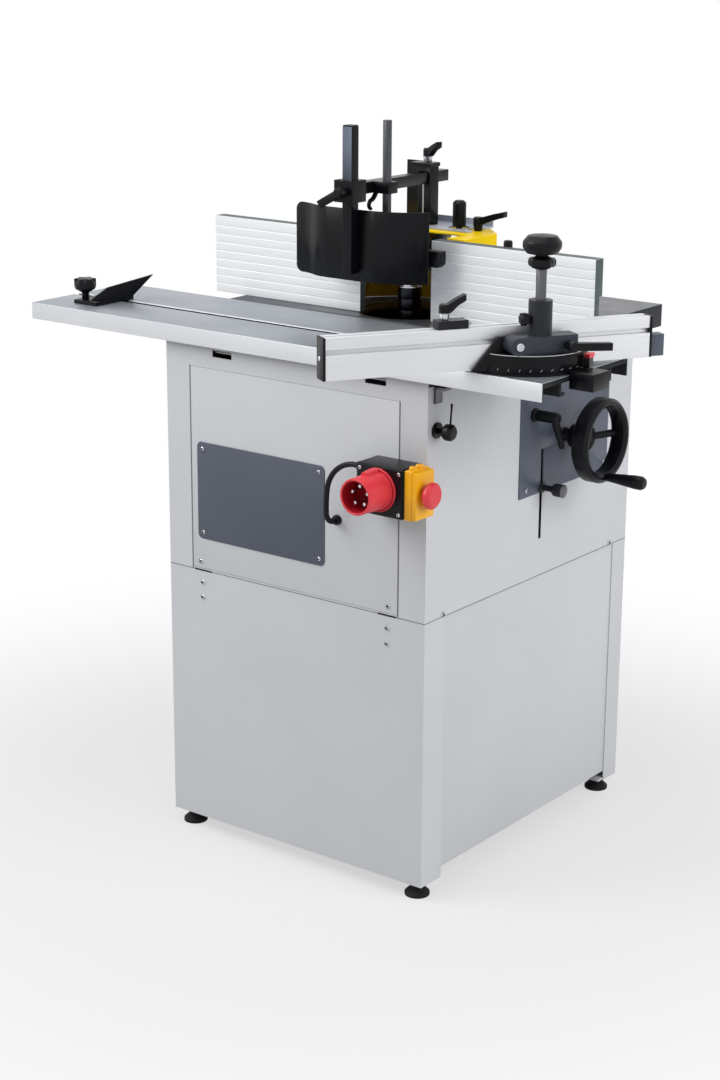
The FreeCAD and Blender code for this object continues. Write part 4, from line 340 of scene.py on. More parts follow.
# Grey cast iron: a ground top with fine lines along the feed, painted sandy sides, and painted shade with a
# painted amber reflection in the hole
GROUND_IRON = Finish("ground_cast_iron", "table_iron", "66686E", "55575D", Pattern.BRUSHED,
                     (0.30, 0.46), (60.0, 0.9, 6.0), 0.02, 45.0, 0.75)
CAST_PAINT = Finish("dark_cast_iron_paint", "table_iron", "2E3036", "25272C", Pattern.CAST,
                    (0.50, 0.66), (5.0, 5.0, 5.0), 0.20, 60.0, specular=0.25)
HOLE_SHADE_IRON = Finish("painted_shade_and_amber_reflection_in_hole", "table_iron", "4A3809", "372A08", Pattern.CAST,
                    (0.60, 0.78), (4.0, 4.0, 4.0), 0.15, 30.0, specular=0.2)
# Natural anodised aluminium extrusion: pale and silky, with die lines along its length
DIE_LINES = (90.0, 1.1, 1.1)
ANODISED = Finish("anodised_aluminium_along_x", "anodised", "D9DBDE", "CFD1D5", Pattern.BRUSHED,
                  (0.34, 0.48), DIE_LINES, 0.012, 120.0, 0.72)
# Painted shade: a darker copy of the anodised finish for the sliding table's top, which faces the light
SHADED_ANODISED_TOP = Finish("painted_shade_aluminium_top_along_x", "anodised", "A4A9B0", "989DA5", Pattern.BRUSHED,
                      (0.36, 0.52), (70.0, 0.9, 0.9), 0.016, 90.0, 0.72)
FENCE_FACE = Finish("pale_anodised_fence_face", "anodised", "F6F7F8", "EFF1F3", Pattern.BRUSHED,
                    (0.34, 0.46), DIE_LINES, 0.008, 120.0, 0.04)
# Dark grey for the fence plates' sawn ends, and painted shade on their top faces
SAWN_END_AND_TOP_SHADE = Finish("sawn_end_and_painted_top_shade", "anodised", "5B6466", "4E5759", Pattern.CAST,
                  (0.48, 0.62), (1.6, 1.6, 1.6), 0.05, 12.0, 0.5)
SHADED_ALLOY = Finish("unlit_inside_of_extrusion", "anodised", "1E2023", "17191B", Pattern.CAST,
                      (0.55, 0.70), (2.0, 2.0, 2.0), 0.03, 40.0, specular=0.2)
ANODISED_BAR = Finish("anodised_aluminium_along_bar", "anodised", "E3E4E7", "DADCDF", Pattern.BRUSHED,
                      (0.34, 0.48), DIE_LINES, 0.012, 120.0, 0.60, BAR_DEG)
# Turned and plated steel: bright, with fine marks round or along the piece
BRIGHT_STEEL = Finish("bright_zinc_steel", "bright_steel", "D2D4D8", "BFC2C7", Pattern.BRUSHED,
                      (0.20, 0.34), (0.8, 0.8, 14.0), 0.01, 20.0, 1.0)
GREY_STEEL = Finish("grey_drawn_steel", "grey_steel", "6A6B70", "5B5C61", Pattern.BRUSHED,
                    (0.28, 0.42), (0.8, 0.8, 40.0), 0.012, 30.0, 1.0)
DARK_STEEL = Finish("oiled_black_steel", "grey_steel", "33343A", "27282D", Pattern.BRUSHED,
                    (0.22, 0.34), (0.8, 0.8, 12.0), 0.012, 25.0, 1.0)
ROD_STEEL = Finish("dull_grey_steel_rod", "grey_steel", "55565A", "48494D", Pattern.BRUSHED,
                   (0.32, 0.46), (0.8, 0.8, 40.0), 0.012, 30.0, 0.8)
CASTING = Finish("raw_grey_casting", "casting", "707277", "616368", Pattern.CAST,
                 (0.55, 0.75), (3.0, 3.0, 3.0), 0.25, 40.0, 0.4)
MOTOR_ALLOY = Finish("painted_motor_alloy", "motor_alloy", "7C8590", "6E7782", Pattern.CAST,
                     (0.45, 0.60), (3.0, 3.0, 3.0), 0.12, 60.0)
# Glass-filled nylon and ABS: a fine mould grain of about 0.4 mm, drawn broader so that it shows
MOULD_GRAIN = (1.2, 1.2, 1.2)
BLACK_PLASTIC = Finish("black_moulded_nylon", "black_plastic", "101115", "0A0B0E", Pattern.MOULDED,
                       (0.28, 0.38), MOULD_GRAIN, 0.03, 35.0, specular=0.18)
# Charcoal nylon, also used to paint the shade in screw recesses and open slots
CHARCOAL_AND_RECESS_SHADE = Finish("charcoal_nylon_and_painted_recess_shade", "black_plastic", "26282E", "1C1E23", Pattern.MOULDED,
                      (0.34, 0.46), MOULD_GRAIN, 0.03, 35.0, specular=0.22)
RED_PLASTIC = Finish("red_moulded_nylon", "red_plastic", "DF3B46", "D6303C", Pattern.MOULDED,
                     (0.34, 0.46), MOULD_GRAIN, 0.03, 30.0)
# Painted shade: a darker copy of the red plastic for the inside of the inlet's mouth
SHADED_RED_MOUTH = Finish("painted_shade_red_in_inlet_mouth", "red_plastic", "B01525", "A01020", Pattern.MOULDED,
                          (0.44, 0.56), MOULD_GRAIN, 0.03, 30.0, specular=0.25)
YELLOW_PLASTIC = Finish("yellow_moulded_abs", "yellow_plastic", "F6B713", "EDAB08", Pattern.MOULDED,
                        (0.34, 0.46), MOULD_GRAIN, 0.03, 30.0)
# Moulded rubber: dull and slightly dusty
FOOT_RUBBER = Finish("black_moulded_rubber", "foot_rubber", "141416", "1D1D20", Pattern.CAST,
                     (0.62, 0.80), (2.0, 2.0, 2.0), 0.10, 20.0, specular=0.25)
BELT_RUBBER = Finish("black_belt_rubber", "belt_rubber", "1E1E20", "272729", Pattern.CAST,
                     (0.65, 0.82), (1.6, 1.6, 1.6), 0.08, 20.0, specular=0.25)


def corner() -> Vector:
    """Give the cabinet's lower front left corner on the floor, which the sizes are measured from."""
    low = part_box("lower_frame")[0]
    return Vector((low.x, low.y, 0.0))


def at(x: float, y: float, z: float) -> Vector:
    """Give the place of a point measured in millimetres from the cabinet's lower front left corner."""
    return corner() + Vector((x, y, z)) * MM


def by_bar(along: float, out: float, z: float) -> Vector:
    """Give the place of a point along the mitre bar and out from its face, in millimetres.

    Args:
        along: Distance along the bar from the foot of its pivot.
        out: Distance out from the bar's face.
        z: Height over the floor.

    Returns:
        The place in the frame.
    """
    turn = math.radians(BAR_DEG)
    reach = BAR_OUT_MM + out
    pivot_x, pivot_y = PIVOT_MM
    return at(pivot_x + along * math.cos(turn) + reach * math.sin(turn),
              pivot_y + along * math.sin(turn) - reach * math.cos(turn), z)


def centre(node: str) -> Vector:
    """Give the middle of a CAD node's box."""
    low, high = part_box(node)
    return (low + high) / 2


def linked(name: str, data: bpy.types.ID) -> bpy.types.Object:
    """Put a mesh, a curve, a lamp or a camera into the scene as an object of its own.

    Args:
        name: The object's name.
        data: What the object shows.

    Returns:
        The object.
    """
    made = bpy.data.objects.new(name, data)
    bpy.context.scene.collection.objects.link(made)
    return made


def as_object(name: str, work: bmesh.types.BMesh) -> bpy.types.Object:
    """Close a working mesh, with its normals outwards, and put it into the scene.

    Args:
        name: The piece's name.
        work: The working mesh, which is used up.

    Returns:
        The piece.
    """
    bmesh.ops.remove_doubles(work, verts=work.verts, dist=FINE_WELD)
    bmesh.ops.recalc_face_normals(work, faces=work.faces)
    mesh = bpy.data.meshes.new(name)
    work.to_mesh(mesh)
    work.free()
    return linked(name, mesh)


def prism(name: str, outline: Sequence[Vector], sweep: Vector) -> bpy.types.Object:
    """Make a straight-sided piece.

    Args:
        name: The piece's name.
        outline: The corners of one end, in order.
        sweep: The way from that end to the other.

    Returns:
        The piece.
    """
    work = bmesh.new()
    end = work.faces.new([work.verts.new(point) for point in outline])
    made = bmesh.ops.extrude_face_region(work, geom=[end])["geom"]
    moved = [part for part in made if isinstance(part, bmesh.types.BMVert)]
    bmesh.ops.translate(work, verts=moved, vec=sweep)
    return as_object(name, work)


def block(name: str, low: Place, high: Place) -> bpy.types.Object:
    """Make a square piece between two corners, in millimetres from the cabinet's corner.

    Args:
        name: The piece's name.
        low: Its low corner.
        high: Its high corner.

    Returns:
        The piece.
    """
    (x, y, z), (x_end, y_end, z_end) = low, high
    foot = [at(*spot, z) for spot in ((x, y), (x_end, y), (x_end, y_end), (x, y_end))]
    return prism(name, foot, Z_AXIS * (z_end - z) * MM)


def band(name: str, low: Vector, high: Vector, depth_mm: float) -> bpy.types.Object:
    """Make a flat band round an upright box.

    Args:
        name: The piece's name.
        low: The band's low outer corner.
        high: Its high outer corner.
        depth_mm: How far it reaches inwards.

    Returns:
        The piece.
    """
    inset = depth_mm * MM
    outer = [(low.x, low.y), (high.x, low.y), (high.x, high.y), (low.x, high.y)]
    inner = [(low.x + inset, low.y + inset), (high.x - inset, low.y + inset),
             (high.x - inset, high.y - inset), (low.x + inset, high.y - inset)]
    work = bmesh.new()
    rings = [[work.verts.new((x, y, z)) for x, y in ring]
             for ring in (outer, inner) for z in (low.z, high.z)]
    outer_low, outer_high, inner_low, inner_high = rings
    turns = (outer_low, outer_high, inner_high, inner_low)
    for here in range(4):
        there = (here + 1) % 4
        for one, two in zip(turns, turns[1:] + turns[:1]):
            work.faces.new((one[here], one[there], two[there], two[here]))
    return as_object(name, work)


@dataclass(frozen=True)
class Turned:
    """A turned piece, by radius and height of each corner in millimetres, from the axis back to the axis."""

    name: str
    profile_mm: Profile
    facets: int = 48

    def made(self, foot: Vector = ORIGIN, axis: Vector = Z_AXIS) -> bpy.types.Object:
        """Turn the piece.

        Args:
            foot: Where height zero is.
            axis: The way that the heights go.

        Returns:
            The piece.
        """
        work = bmesh.new()
        corners = [work.verts.new((radius * MM, 0.0, height * MM)) for radius, height in self.profile_mm]
        sides = [work.edges.new(pair) for pair in zip(corners, corners[1:])]
        bmesh.ops.spin(work, geom=corners + sides, cent=ORIGIN, axis=Z_AXIS, angle=math.tau,
                       steps=self.facets, use_merge=True)
        turn = axis.to_track_quat("Z", "Y").to_matrix().to_4x4()
        bmesh.ops.transform(work, matrix=Matrix.Translation(foot) @ turn, verts=work.verts)
        return as_object(self.name, work)


def bent_rod(name: str, path: Sequence[Vector], widths_mm: Sequence[float]) -> bpy.types.Object:
    """Make a rod along a smooth path.

    Args:
        name: The piece's name.
        path: The points that the rod passes through.
        widths_mm: Radius of the rod at each point.

    Returns:
        The piece.
    """
    curve = bpy.data.curves.new(name, "CURVE")
    curve.dimensions = "3D"
    curve.bevel_depth = MM
    curve.bevel_resolution = 6
    curve.resolution_u = 10
    curve.use_fill_caps = True
    run = curve.splines.new("BEZIER")
    run.bezier_points.add(len(path) - 1)
    for knot, place, width in zip(run.bezier_points, path, widths_mm):
        knot.co = place
        knot.radius = width
        knot.handle_left_type = "AUTO"
        knot.handle_right_type = "AUTO"
    guide = linked(f"{name}_path", curve)
    graph = bpy.context.evaluated_depsgraph_get()
    mesh = bpy.data.meshes.new_from_object(guide.evaluated_get(graph))
    bpy.data.objects.remove(guide)
    work = bmesh.new()
    work.from_mesh(mesh)
    return as_object(name, work)


def plain(obj: bpy.types.Object) -> None:
    """Turn an object's modifiers into a plain mesh.

    Args:
        obj: The object.
    """
    graph = bpy.context.evaluated_depsgraph_get()
    made = bpy.data.meshes.new_from_object(obj.evaluated_get(graph))
    obj.modifiers.clear()
    obj.data = made


def drill(obj: bpy.types.Object, foot: Vector, axis: Vector, radius_mm: float) -> None:
    """Cut a round hole through a piece.

    Args:
        obj: The piece.
        foot: A point on the hole's axis.
        axis: The way that the hole goes.
        radius_mm: The hole's radius.
    """
    first, last = -DRILL_REACH_MM, DRILL_REACH_MM
    profile = ((0.0, first), (radius_mm, first), (radius_mm, last), (0.0, last))
    tool = Turned("drill", profile).made(foot, axis)
    hole = obj.modifiers.new("hole", "BOOLEAN")
    hole.operation = "DIFFERENCE"
    hole.object = tool
    plain(obj)
    bpy.data.objects.remove(tool)


def soften(obj: bpy.types.Object, edge: Edge) -> None:
    """Shade an object smooth and round its sharp edges, or keep them sharp where the edge is bare.

    Args:
        obj: The object.
        edge: How its edges are rounded.
    """
    obj.data.shade_smooth()
    sharp = math.radians(SHARP_DEG)
    if edge is Edge.BARE:
        obj.data.set_sharp_from_angle(angle=sharp)
        return
    width_mm, facets = edge.value
    round_off = obj.modifiers.new("rounding", "BEVEL")
    round_off.width = width_mm * MM
    round_off.segments = facets
    round_off.limit_method = "ANGLE"
    round_off.angle_limit = sharp
    round_off.use_clamp_overlap = True
    round_off.miter_outer = "MITER_ARC"
    round_off.harden_normals = True
    plain(obj)


def lumps(mesh: bpy.types.Mesh) -> list[tuple[Vector, Vector]]:
    """Find the separate lumps of a mesh.

    Args:
        mesh: The mesh.

    Returns:
        The low and the high corner of each lump.
    """
    work = bmesh.new()
    work.from_mesh(mesh)
    bmesh.ops.remove_doubles(work, verts=work.verts, dist=CAD_WELD)
    waiting = set(work.verts)
    found = []
    while waiting:
        front = [waiting.pop()]
        lump = []
        while front:
            here = front.pop()
            lump.append(here.co.copy())
            for edge in here.link_edges:
                there = edge.other_vert(here)
                if there in waiting:
                    waiting.remove(there)
                    front.append(there)
        low = Vector(min(point[axis] for point in lump) for axis in range(3))
        high = Vector(max(point[axis] for point in lump) for axis in range(3))
        found.append((low, high))
    work.free()
    return found


def repeat_group() -> bpy.types.NodeTree:
    """Make the node group that sets one item on every point of a mesh, facing the point's aim.

    Returns:
        The group, which is made once.
    """
    found = bpy.data.node_groups.get("repeated_item")
    if found is not None:
        return found
    tree = bpy.data.node_groups.new("repeated_item", "GeometryNodeTree")
    for name, kind in (("Geometry", "Geometry"), ("Item", "Object"), ("Finish", "Material"),
                       ("Most Turn", "Float"), ("Seed", "Int")):
        tree.interface.new_socket(name, in_out="INPUT", socket_type=f"NodeSocket{kind}")
    tree.interface.new_socket("Geometry", in_out="OUTPUT", socket_type="NodeSocketGeometry")
    given = add_node(tree, "NodeGroupInput").outputs
    aim = add_node(tree, "GeometryNodeInputNamedAttribute", {"Name": "aim"}, data_type="FLOAT_VECTOR")
    facing = add_node(tree, "FunctionNodeAlignRotationToVector", {
        "Vector": aim.outputs["Attribute"],
    }, axis="Z")
    # Sockets 2 and 3 hold the least and the most turn, and socket 8 the seed
    chance = add_node(tree, "FunctionNodeRandomValue", {
        2: 0.0, 3: given["Most Turn"], 8: given["Seed"],
    }, data_type="FLOAT")
    spin = add_node(tree, "FunctionNodeAxisAngleToRotation", {
        "Axis": (0.0, 0.0, 1.0), "Angle": chance.outputs[1],
    })
    turned = add_node(tree, "FunctionNodeRotateRotation", {
        "Rotation": facing.outputs["Rotation"], "Rotate By": spin.outputs["Rotation"],
    }, rotation_space="LOCAL")
    item = add_node(tree, "GeometryNodeObjectInfo", {"Object": given["Item"]})
    copies = add_node(tree, "GeometryNodeInstanceOnPoints", {
        "Points": given["Geometry"], "Instance": item.outputs["Geometry"],
        "Rotation": turned.outputs["Rotation"],
    })
    whole = add_node(tree, "GeometryNodeRealizeInstances", {"Geometry": copies.outputs["Instances"]})
    finished = add_node(tree, "GeometryNodeSetMaterial", {
        "Geometry": whole.outputs["Geometry"], "Material": given["Finish"],
    })
    add_node(tree, "NodeGroupOutput", {"Geometry": finished.outputs["Geometry"]})
    return tree


def cross_recess(size_mm: float) -> bpy.types.Object:
    """Make the dark cross that paints the shade in a screw head's recess, flat on its aim.

    Args:
        size_mm: Length of the cross from tip to tip.

    Returns:
        The cross.
    """
    arm = size_mm * 0.5
    half = size_mm * 0.13
    thick = 0.12
    outline = ((half, half), (half, arm), (-half, arm), (-half, half), (-arm, half), (-arm, -half),
               (-half, -half), (-half, -arm), (half, -arm), (half, -half), (arm, -half), (arm, half))
    return prism("cross_recess", [Vector((x, y, 0.0)) * MM for x, y in outline], Z_AXIS * thick * MM)


def knob_rib(radius_mm: float, height_mm: float) -> bpy.types.Object:
    """Make one rounded rib of a knob, standing on its aim.

    Args:
        radius_mm: The rib's radius.
        height_mm: The rib's height.

    Returns:
        The rib.
    """
    chamfer = 0.6
    facets = 16
    return Turned("knob_rib", (
        (0.0, 0.0), (radius_mm, 0.0), (radius_mm, height_mm - chamfer), (radius_mm - chamfer, height_mm),
        (0.0, height_mm),
    ), facets).made()


def ring_of(foot: Vector, axis: Vector, radius_mm: float, count: int) -> list[tuple[Vector, Vector]]:
    """Give evenly spaced places round an axis.

    Args:
        foot: The middle of the ring.
        axis: The axis, which each copy faces.
        radius_mm: The ring's radius.
        count: How many places there are.

    Returns:
        The place and the aim of each copy.
    """
    across = axis.orthogonal().normalized()
    other = axis.cross(across).normalized()
    spots = []
    for number in range(count):
        turn = math.tau * number / count
        way = across * math.cos(turn) + other * math.sin(turn)
        spots.append((foot + way * radius_mm * MM, axis))
    return spots


@dataclass
class SubAssembly:
    """What every sub-assembly can do: take over CAD nodes and add pieces of its own."""

    def take_over(self, node: str, finish: Finish, edge: Edge) -> bpy.types.Object:
        """Stand in for a CAD node with the same shape, its edges rounded and its finish on.

        Args:
            node: The CAD node's name.
            finish: What it is finished in.
            edge: How its edges are rounded.

        Returns:
            The new piece.
        """
        source = frame["nodes"][node]
        mesh = source.data.copy()
        mesh.materials.clear()
        work = bmesh.new()
        work.from_mesh(mesh)
        bmesh.ops.remove_doubles(work, verts=work.verts, dist=CAD_WELD)
        bmesh.ops.dissolve_limit(work, angle_limit=math.radians(FLAT_DEG), verts=work.verts,
                                 edges=work.edges)
        work.to_mesh(mesh)
        work.free()
        piece = linked(f"{node}_finished", mesh)
        soften(piece, edge)
        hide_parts(node)
        return self.keep(piece, body_of(source)[0], finish)

    def take_over_all(self, nodes: Sequence[str], finish: Finish, edge: Edge) -> None:
        """Stand in for several CAD nodes that share a finish and an edge."""
        for node in nodes:
            self.take_over(node, finish, edge)

    def take_over_lever(self, node: str) -> None:
        """Stand in for a clamp lever, whose neck stays bright.

        Args:
            node: The CAD node's name.
        """
        lever = self.take_over(node, BLACK_PLASTIC, Edge.GRIP)
        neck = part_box(node)[0].z + NECK_MM * MM
        self.paint_where(lever, BRIGHT_STEEL, lambda face: face.center.z < neck)

    def keep(self, piece: bpy.types.Object, body: str, finish: Finish) -> bpy.types.Object:
        """Finish a piece and let it ride on its body.

        Args:
            piece: The piece.
            body: The CAD body that carries it.
            finish: What it is finished in.

        Returns:
            The same piece.
        """
        if not piece.data.materials:
            piece.data.materials.append(finish.material())
        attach(piece, body)
        LOG.info("%s rides on %s in %s", piece.name, body, finish.name)
        return piece

    def add(self, piece: bpy.types.Object, body: str, finish: Finish, edge: Edge) -> bpy.types.Object:
        """Round the edges of a piece of its own, finish it and let it ride.

        Args:
            piece: The piece.
            body: The CAD body that carries it.
            finish: What it is finished in.
            edge: How its edges are rounded.

        Returns:
            The same piece.
        """
        soften(piece, edge)
        return self.keep(piece, body, finish)

    def repeat(self, name: str, spots: Spots, item: bpy.types.Object, body: str, finish: Finish,
               most_turn_deg: float = 0.0) -> bpy.types.Object:
        """Set copies of an item on points, as one piece.

        Args:
            name: The piece's name.
            spots: The place and the aim of each copy.
            item: What is copied, which is used up.
            body: The CAD body that carries the piece.
            finish: What it is finished in.
            most_turn_deg: Most that a copy may turn about its aim, by chance.

        Returns:
            The piece.
        """
        mesh = bpy.data.meshes.new(name)
        mesh.from_pydata([place for place, _ in spots], [], [])
        aims = mesh.attributes.new("aim", "FLOAT_VECTOR", "POINT")
        for entry, (_, aim) in zip(aims.data, spots):
            entry.vector = aim
        piece = linked(name, mesh)
        group = repeat_group()
        maker = piece.modifiers.new("repeated_item", "NODES")
        maker.node_group = group
        values = {
            "Item": item, "Finish": finish.material(), "Most Turn": math.radians(most_turn_deg),
            "Seed": TURN_SEED,
        }
        for socket in group.interface.items_tree:
            if socket.in_out == "INPUT" and socket.name in values:
                maker[socket.identifier] = values[socket.name]
        plain(piece)
        bpy.data.objects.remove(item)
        return self.keep(piece, body, finish)

    def paint_where(self, piece: bpy.types.Object, finish: Finish,
                    test: Callable[[bpy.types.MeshPolygon], bool]) -> None:
        """Give some of a piece's faces a finish of their own.

        Args:
            piece: The piece.
            finish: What those faces are finished in.
            test: Says of a face whether it is one of them.
        """
        piece.data.materials.append(finish.material())
        number = len(piece.data.materials) - 1
        for face in piece.data.polygons:
            if test(face):
                face.material_index = number


@dataclass
class Cabinet(SubAssembly):
    """The stand, the upper cabinet, their plates, screws and feet."""

    inner_rim_mm: float = 4.0
    cross_mm: float = 7.0
    cross_sink_mm: float = 0.04
    tab_slots_mm: Profile = ((53.0, 89.0), (423.0, 458.0))
    tab_y_mm: Span = (-0.35, 0.4)
    tab_z_mm: Span = (456.6, 459.4)
    stand_out_mm: float = 0.2
    seam_mm: Span = (457.4, 458.6)
    seam_depth_mm: float = 0.8
    joint_mm: float = 2.0
    joint_depth_mm: float = 0.6

    def build(self) -> None:
        """Make the cabinet's pieces."""
        self.take_over("lower_frame", CABINET_PAINT, Edge.BARE)
        shell = self.take_over("upper_cabinet", CABINET_PAINT, Edge.BARE)
        low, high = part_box("upper_cabinet")
        middle = centre("upper_cabinet")
        rim = self.inner_rim_mm * MM
        # The inner faces are painted dark as painted shade
        self.paint_where(shell, PAINTED_SHADE_INSIDE, lambda face: (
            face.normal.dot(middle - face.center) > 0.0 and low.z + rim < face.center.z < high.z - rim))
        self.take_over_all(("lower_side_panels", "front_cover"), CABINET_PAINT, Edge.SHEET)
        self.take_over("cover_plates", SLATE_PAINT, Edge.SHEET)
        self.take_over("levelling_feet", FOOT_RUBBER, Edge.SHEET)
        self.take_over("cabinet_screws", BRIGHT_STEEL, Edge.TURNED)
        self.take_over("guide_columns", GREY_STEEL, Edge.BARE)

    def dress(self) -> None:
        """Add dark crosses and dark tab slots that paint the shade in the screws' recesses and in the slots,
        and the joints of the sheets.
        """
        middle = centre("upper_cabinet")
        spots = []
        for first, last in lumps(frame["nodes"]["cabinet_screws"].data):
            size = last - first
            axis = min(range(3), key=lambda number: size[number])
            place = (first + last) / 2
            aim = ORIGIN.copy()
            aim[axis] = 1.0 if place[axis] > middle[axis] else -1.0
            place[axis] = last[axis] if aim[axis] > 0.0 else first[axis]
            spots.append((place - aim * self.cross_sink_mm * MM, aim))
        # The screws' crosses are dark marks that paint the shade in their recesses
        cross = cross_recess(self.cross_mm)
        self.repeat("screw_crosses", spots, cross, "base", CHARCOAL_AND_RECESS_SHADE, SCREW_TURN_DEG)
        front, back = self.tab_y_mm
        low, high = self.tab_z_mm
        # Each tab slot is a dark strip that paints the shade inside the slot
        for number, (left, right) in enumerate(self.tab_slots_mm):
            slot = block(f"tab_slot_{number}", (left, front, low), (right, back, high))
            self.add(slot, "base", CHARCOAL_AND_RECESS_SHADE, Edge.SLOT)
        self.line_joints()

    def line_joints(self) -> None:
        """Lay the seam between stand and cabinet, and the joints at both sides of the front cover."""
        low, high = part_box("upper_cabinet")
        step = Vector((1.0, 1.0, 0.0)) * self.stand_out_mm * MM
        seam = band("cabinet_seam", Vector((low.x, low.y, self.seam_mm[0] * MM)) - step,
                    Vector((high.x, high.y, self.seam_mm[1] * MM)) + step, self.seam_depth_mm)
        self.add(seam, "base", JOINT_SHADOW, Edge.BARE)
        low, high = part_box("front_cover")
        wide = self.joint_mm * MM
        front = low.y - self.stand_out_mm * MM
        foot = self.seam_mm[1] * MM
        for name, edge in (("left", low.x), ("right", high.x - wide)):
            corners = ((edge, foot), (edge + wide, foot), (edge + wide, high.z),
                       (edge + wide / 2, high.z + wide), (edge, high.z))
            outline = [Vector((x, front, z)) for x, z in corners]
            joint = prism(f"cover_joint_{name}", outline, Y_AXIS * self.joint_depth_mm * MM)
            self.add(joint, "base", JOINT_SHADOW, Edge.BARE)


@dataclass
class Tables(SubAssembly):
    """The main table, the sliding table on its rail, their lock and the end shoe."""

    skin_mm: float = 0.5
    hole_mm: Span = (243.0, 321.0)
    hole_reach_mm: float = 92.0
    step_mm: float = 30.0
    wall_mm: float = 1.0
    bush_mm: float = 6.0
    slot_edge_mm: float = 110.0
    glint_mm: Profile = ((0.0, -1.2), (0.0, -0.4), (0.5, 0.12), (6.0, 0.12), (6.0, -0.2))
    glint_start_mm: float = 2.0
    glint_short_mm: float = 8.0
    lobe_mm: float = 3.6
    lobe_count: int = 6
    lobe_inset_mm: float = 2.6
    lobe_tall_mm: float = 14.0
    lobe_drop_mm: float = 0.4
    pin_inset_mm: float = 6.0
    pin_path_mm: Profile = ((0.0, -5.0), (0.4, 8.0), (1.4, 20.0), (1.8, 31.0))
    pin_widths_mm: tuple[float, ...] = (1.8, 1.5, 1.5, 1.9)

    def build(self) -> None:
        """Make the tables' pieces."""
        table = self.take_over("main_table", CAST_PAINT, Edge.SHEET)
        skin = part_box("main_table")[1].z - self.skin_mm * MM
        self.paint_where(table, GROUND_IRON, lambda face: face.normal.z > FACING and face.center.z > skin)
        hole = at(*self.hole_mm, 0.0)
        reach = self.hole_reach_mm * MM
        # Faces below the top in the spindle hole get painted shade with a painted amber reflection
        self.paint_where(table, HOLE_SHADE_IRON, lambda face: (
            face.center.z < skin and math.hypot(face.center.x - hole.x, face.center.y - hole.y) < reach))
        self.take_over("slide_rail", BRIGHT_STEEL, Edge.CUT)
        slide = self.take_over("sliding_table", ANODISED, Edge.CUT)
        low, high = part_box("sliding_table")
        step = self.step_mm * MM
        wall = self.wall_mm * MM
        # The upward faces of the top get the darker copy as painted shade
        self.paint_where(slide, SHADED_ANODISED_TOP, lambda face: (
            face.normal.z > FACING and face.center.z > high.z - step))
        self.paint_where(slide, SHADED_ALLOY, lambda face: (
            face.normal.z < FACING and face.center.z < high.z - wall and
            low.y + wall < face.center.y < high.y - wall))
        bracket = self.take_over("lock_bracket", GREY_STEEL, Edge.CUT)
        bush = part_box("table_lock_knob")[1].z + self.bush_mm * MM
        self.paint_where(bracket, BLACK_PLASTIC, lambda face: face.center.z < bush)
        self.take_over("table_lock_knob", BLACK_PLASTIC, Edge.SHEET)
        self.take_over("end_shoe", BLACK_PAINT, Edge.CUT)
        self.take_over("end_shoe_knob", BLACK_PLASTIC, Edge.SHEET)

    def dress(self) -> None:
        """Add a paler strip that paints the highlight on the edge of the sliding table's slot, the lobes of
        the shoe's knob and the lock's pin.
        """
        # A strip of the paler anodised finish paints the highlight on the slot's edge
        low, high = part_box("sliding_table")
        start = low.x + self.glint_start_mm * MM
        edge = low.y + self.slot_edge_mm * MM
        profile = [Vector((start, edge + y * MM, high.z + z * MM)) for y, z in self.glint_mm]
        lip = prism("slot_lip", profile, X_AXIS * (high.x - low.x - self.glint_short_mm * MM))
        self.add(lip, "slide", ANODISED, Edge.BARE)
        low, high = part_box("end_shoe_knob")
        middle = centre("end_shoe_knob")
        radius = min(high.x - low.x, high.y - low.y) / 2 / MM
        tall = min((high.z - low.z) / MM, self.lobe_tall_mm)
        foot = Vector((middle.x, middle.y, high.z - tall * MM))
        spots = ring_of(foot, Z_AXIS, radius - self.lobe_inset_mm, self.lobe_count)
        lobe = knob_rib(self.lobe_mm, tall - self.lobe_drop_mm)
        self.repeat("end_shoe_knob_lobes", spots, lobe, "shoe_knob", BLACK_PLASTIC)
        low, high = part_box("table_lock_knob")
        foot = Vector((high.x - self.pin_inset_mm * MM, (low.y + high.y) / 2, high.z))
        path = [foot + Vector((lean, 0.0, rise)) * MM for lean, rise in self.pin_path_mm]
        self.add(bent_rod("lock_pin", path, self.pin_widths_mm), "table_lock", BLACK_PLASTIC, Edge.BARE)


@dataclass
class SpindleDrive(SubAssembly):
    """The spindle unit inside the cabinet."""

    # A thin bright band paints the highlight on the edge of the dark top ring
    rim: Turned = Turned("top_ring_rim", (
        (15.6, 0.1), (15.6, 0.5), (19.0, 0.5), (19.4, 0.1),
        (19.4, -1.0), (18.4, -1.0), (18.4, 0.1), (15.6, 0.1),
    ), 64)

    def build(self) -> None:
        """Make the spindle unit's pieces."""
        self.take_over("spindle_carriage", CASTING, Edge.SHEET)
        self.take_over("drive_motor", MOTOR_ALLOY, Edge.CAST)
        self.take_over("drive_belt", BELT_RUBBER, Edge.BARE)
        self.take_over_all(("spindle_bearings", "spindle_shaft", "lift_screw"), BRIGHT_STEEL, Edge.TURNED)
        self.take_over("handwheel_shaft", DARK_STEEL, Edge.TURNED)
        self.take_over_all(("spindle_pulley", "motor_pulley"), GREY_STEEL, Edge.BARE)
        self.take_over("spindle_rings", DARK_STEEL, Edge.CUT)

    def dress(self) -> None:
        """Add a bright band that paints the highlight on the top ring's rim."""
        foot = centre("spindle_rings")
        foot.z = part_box("spindle_rings")[1].z
        self.add(self.rim.made(foot), "spindle", BRIGHT_STEEL, Edge.BARE)


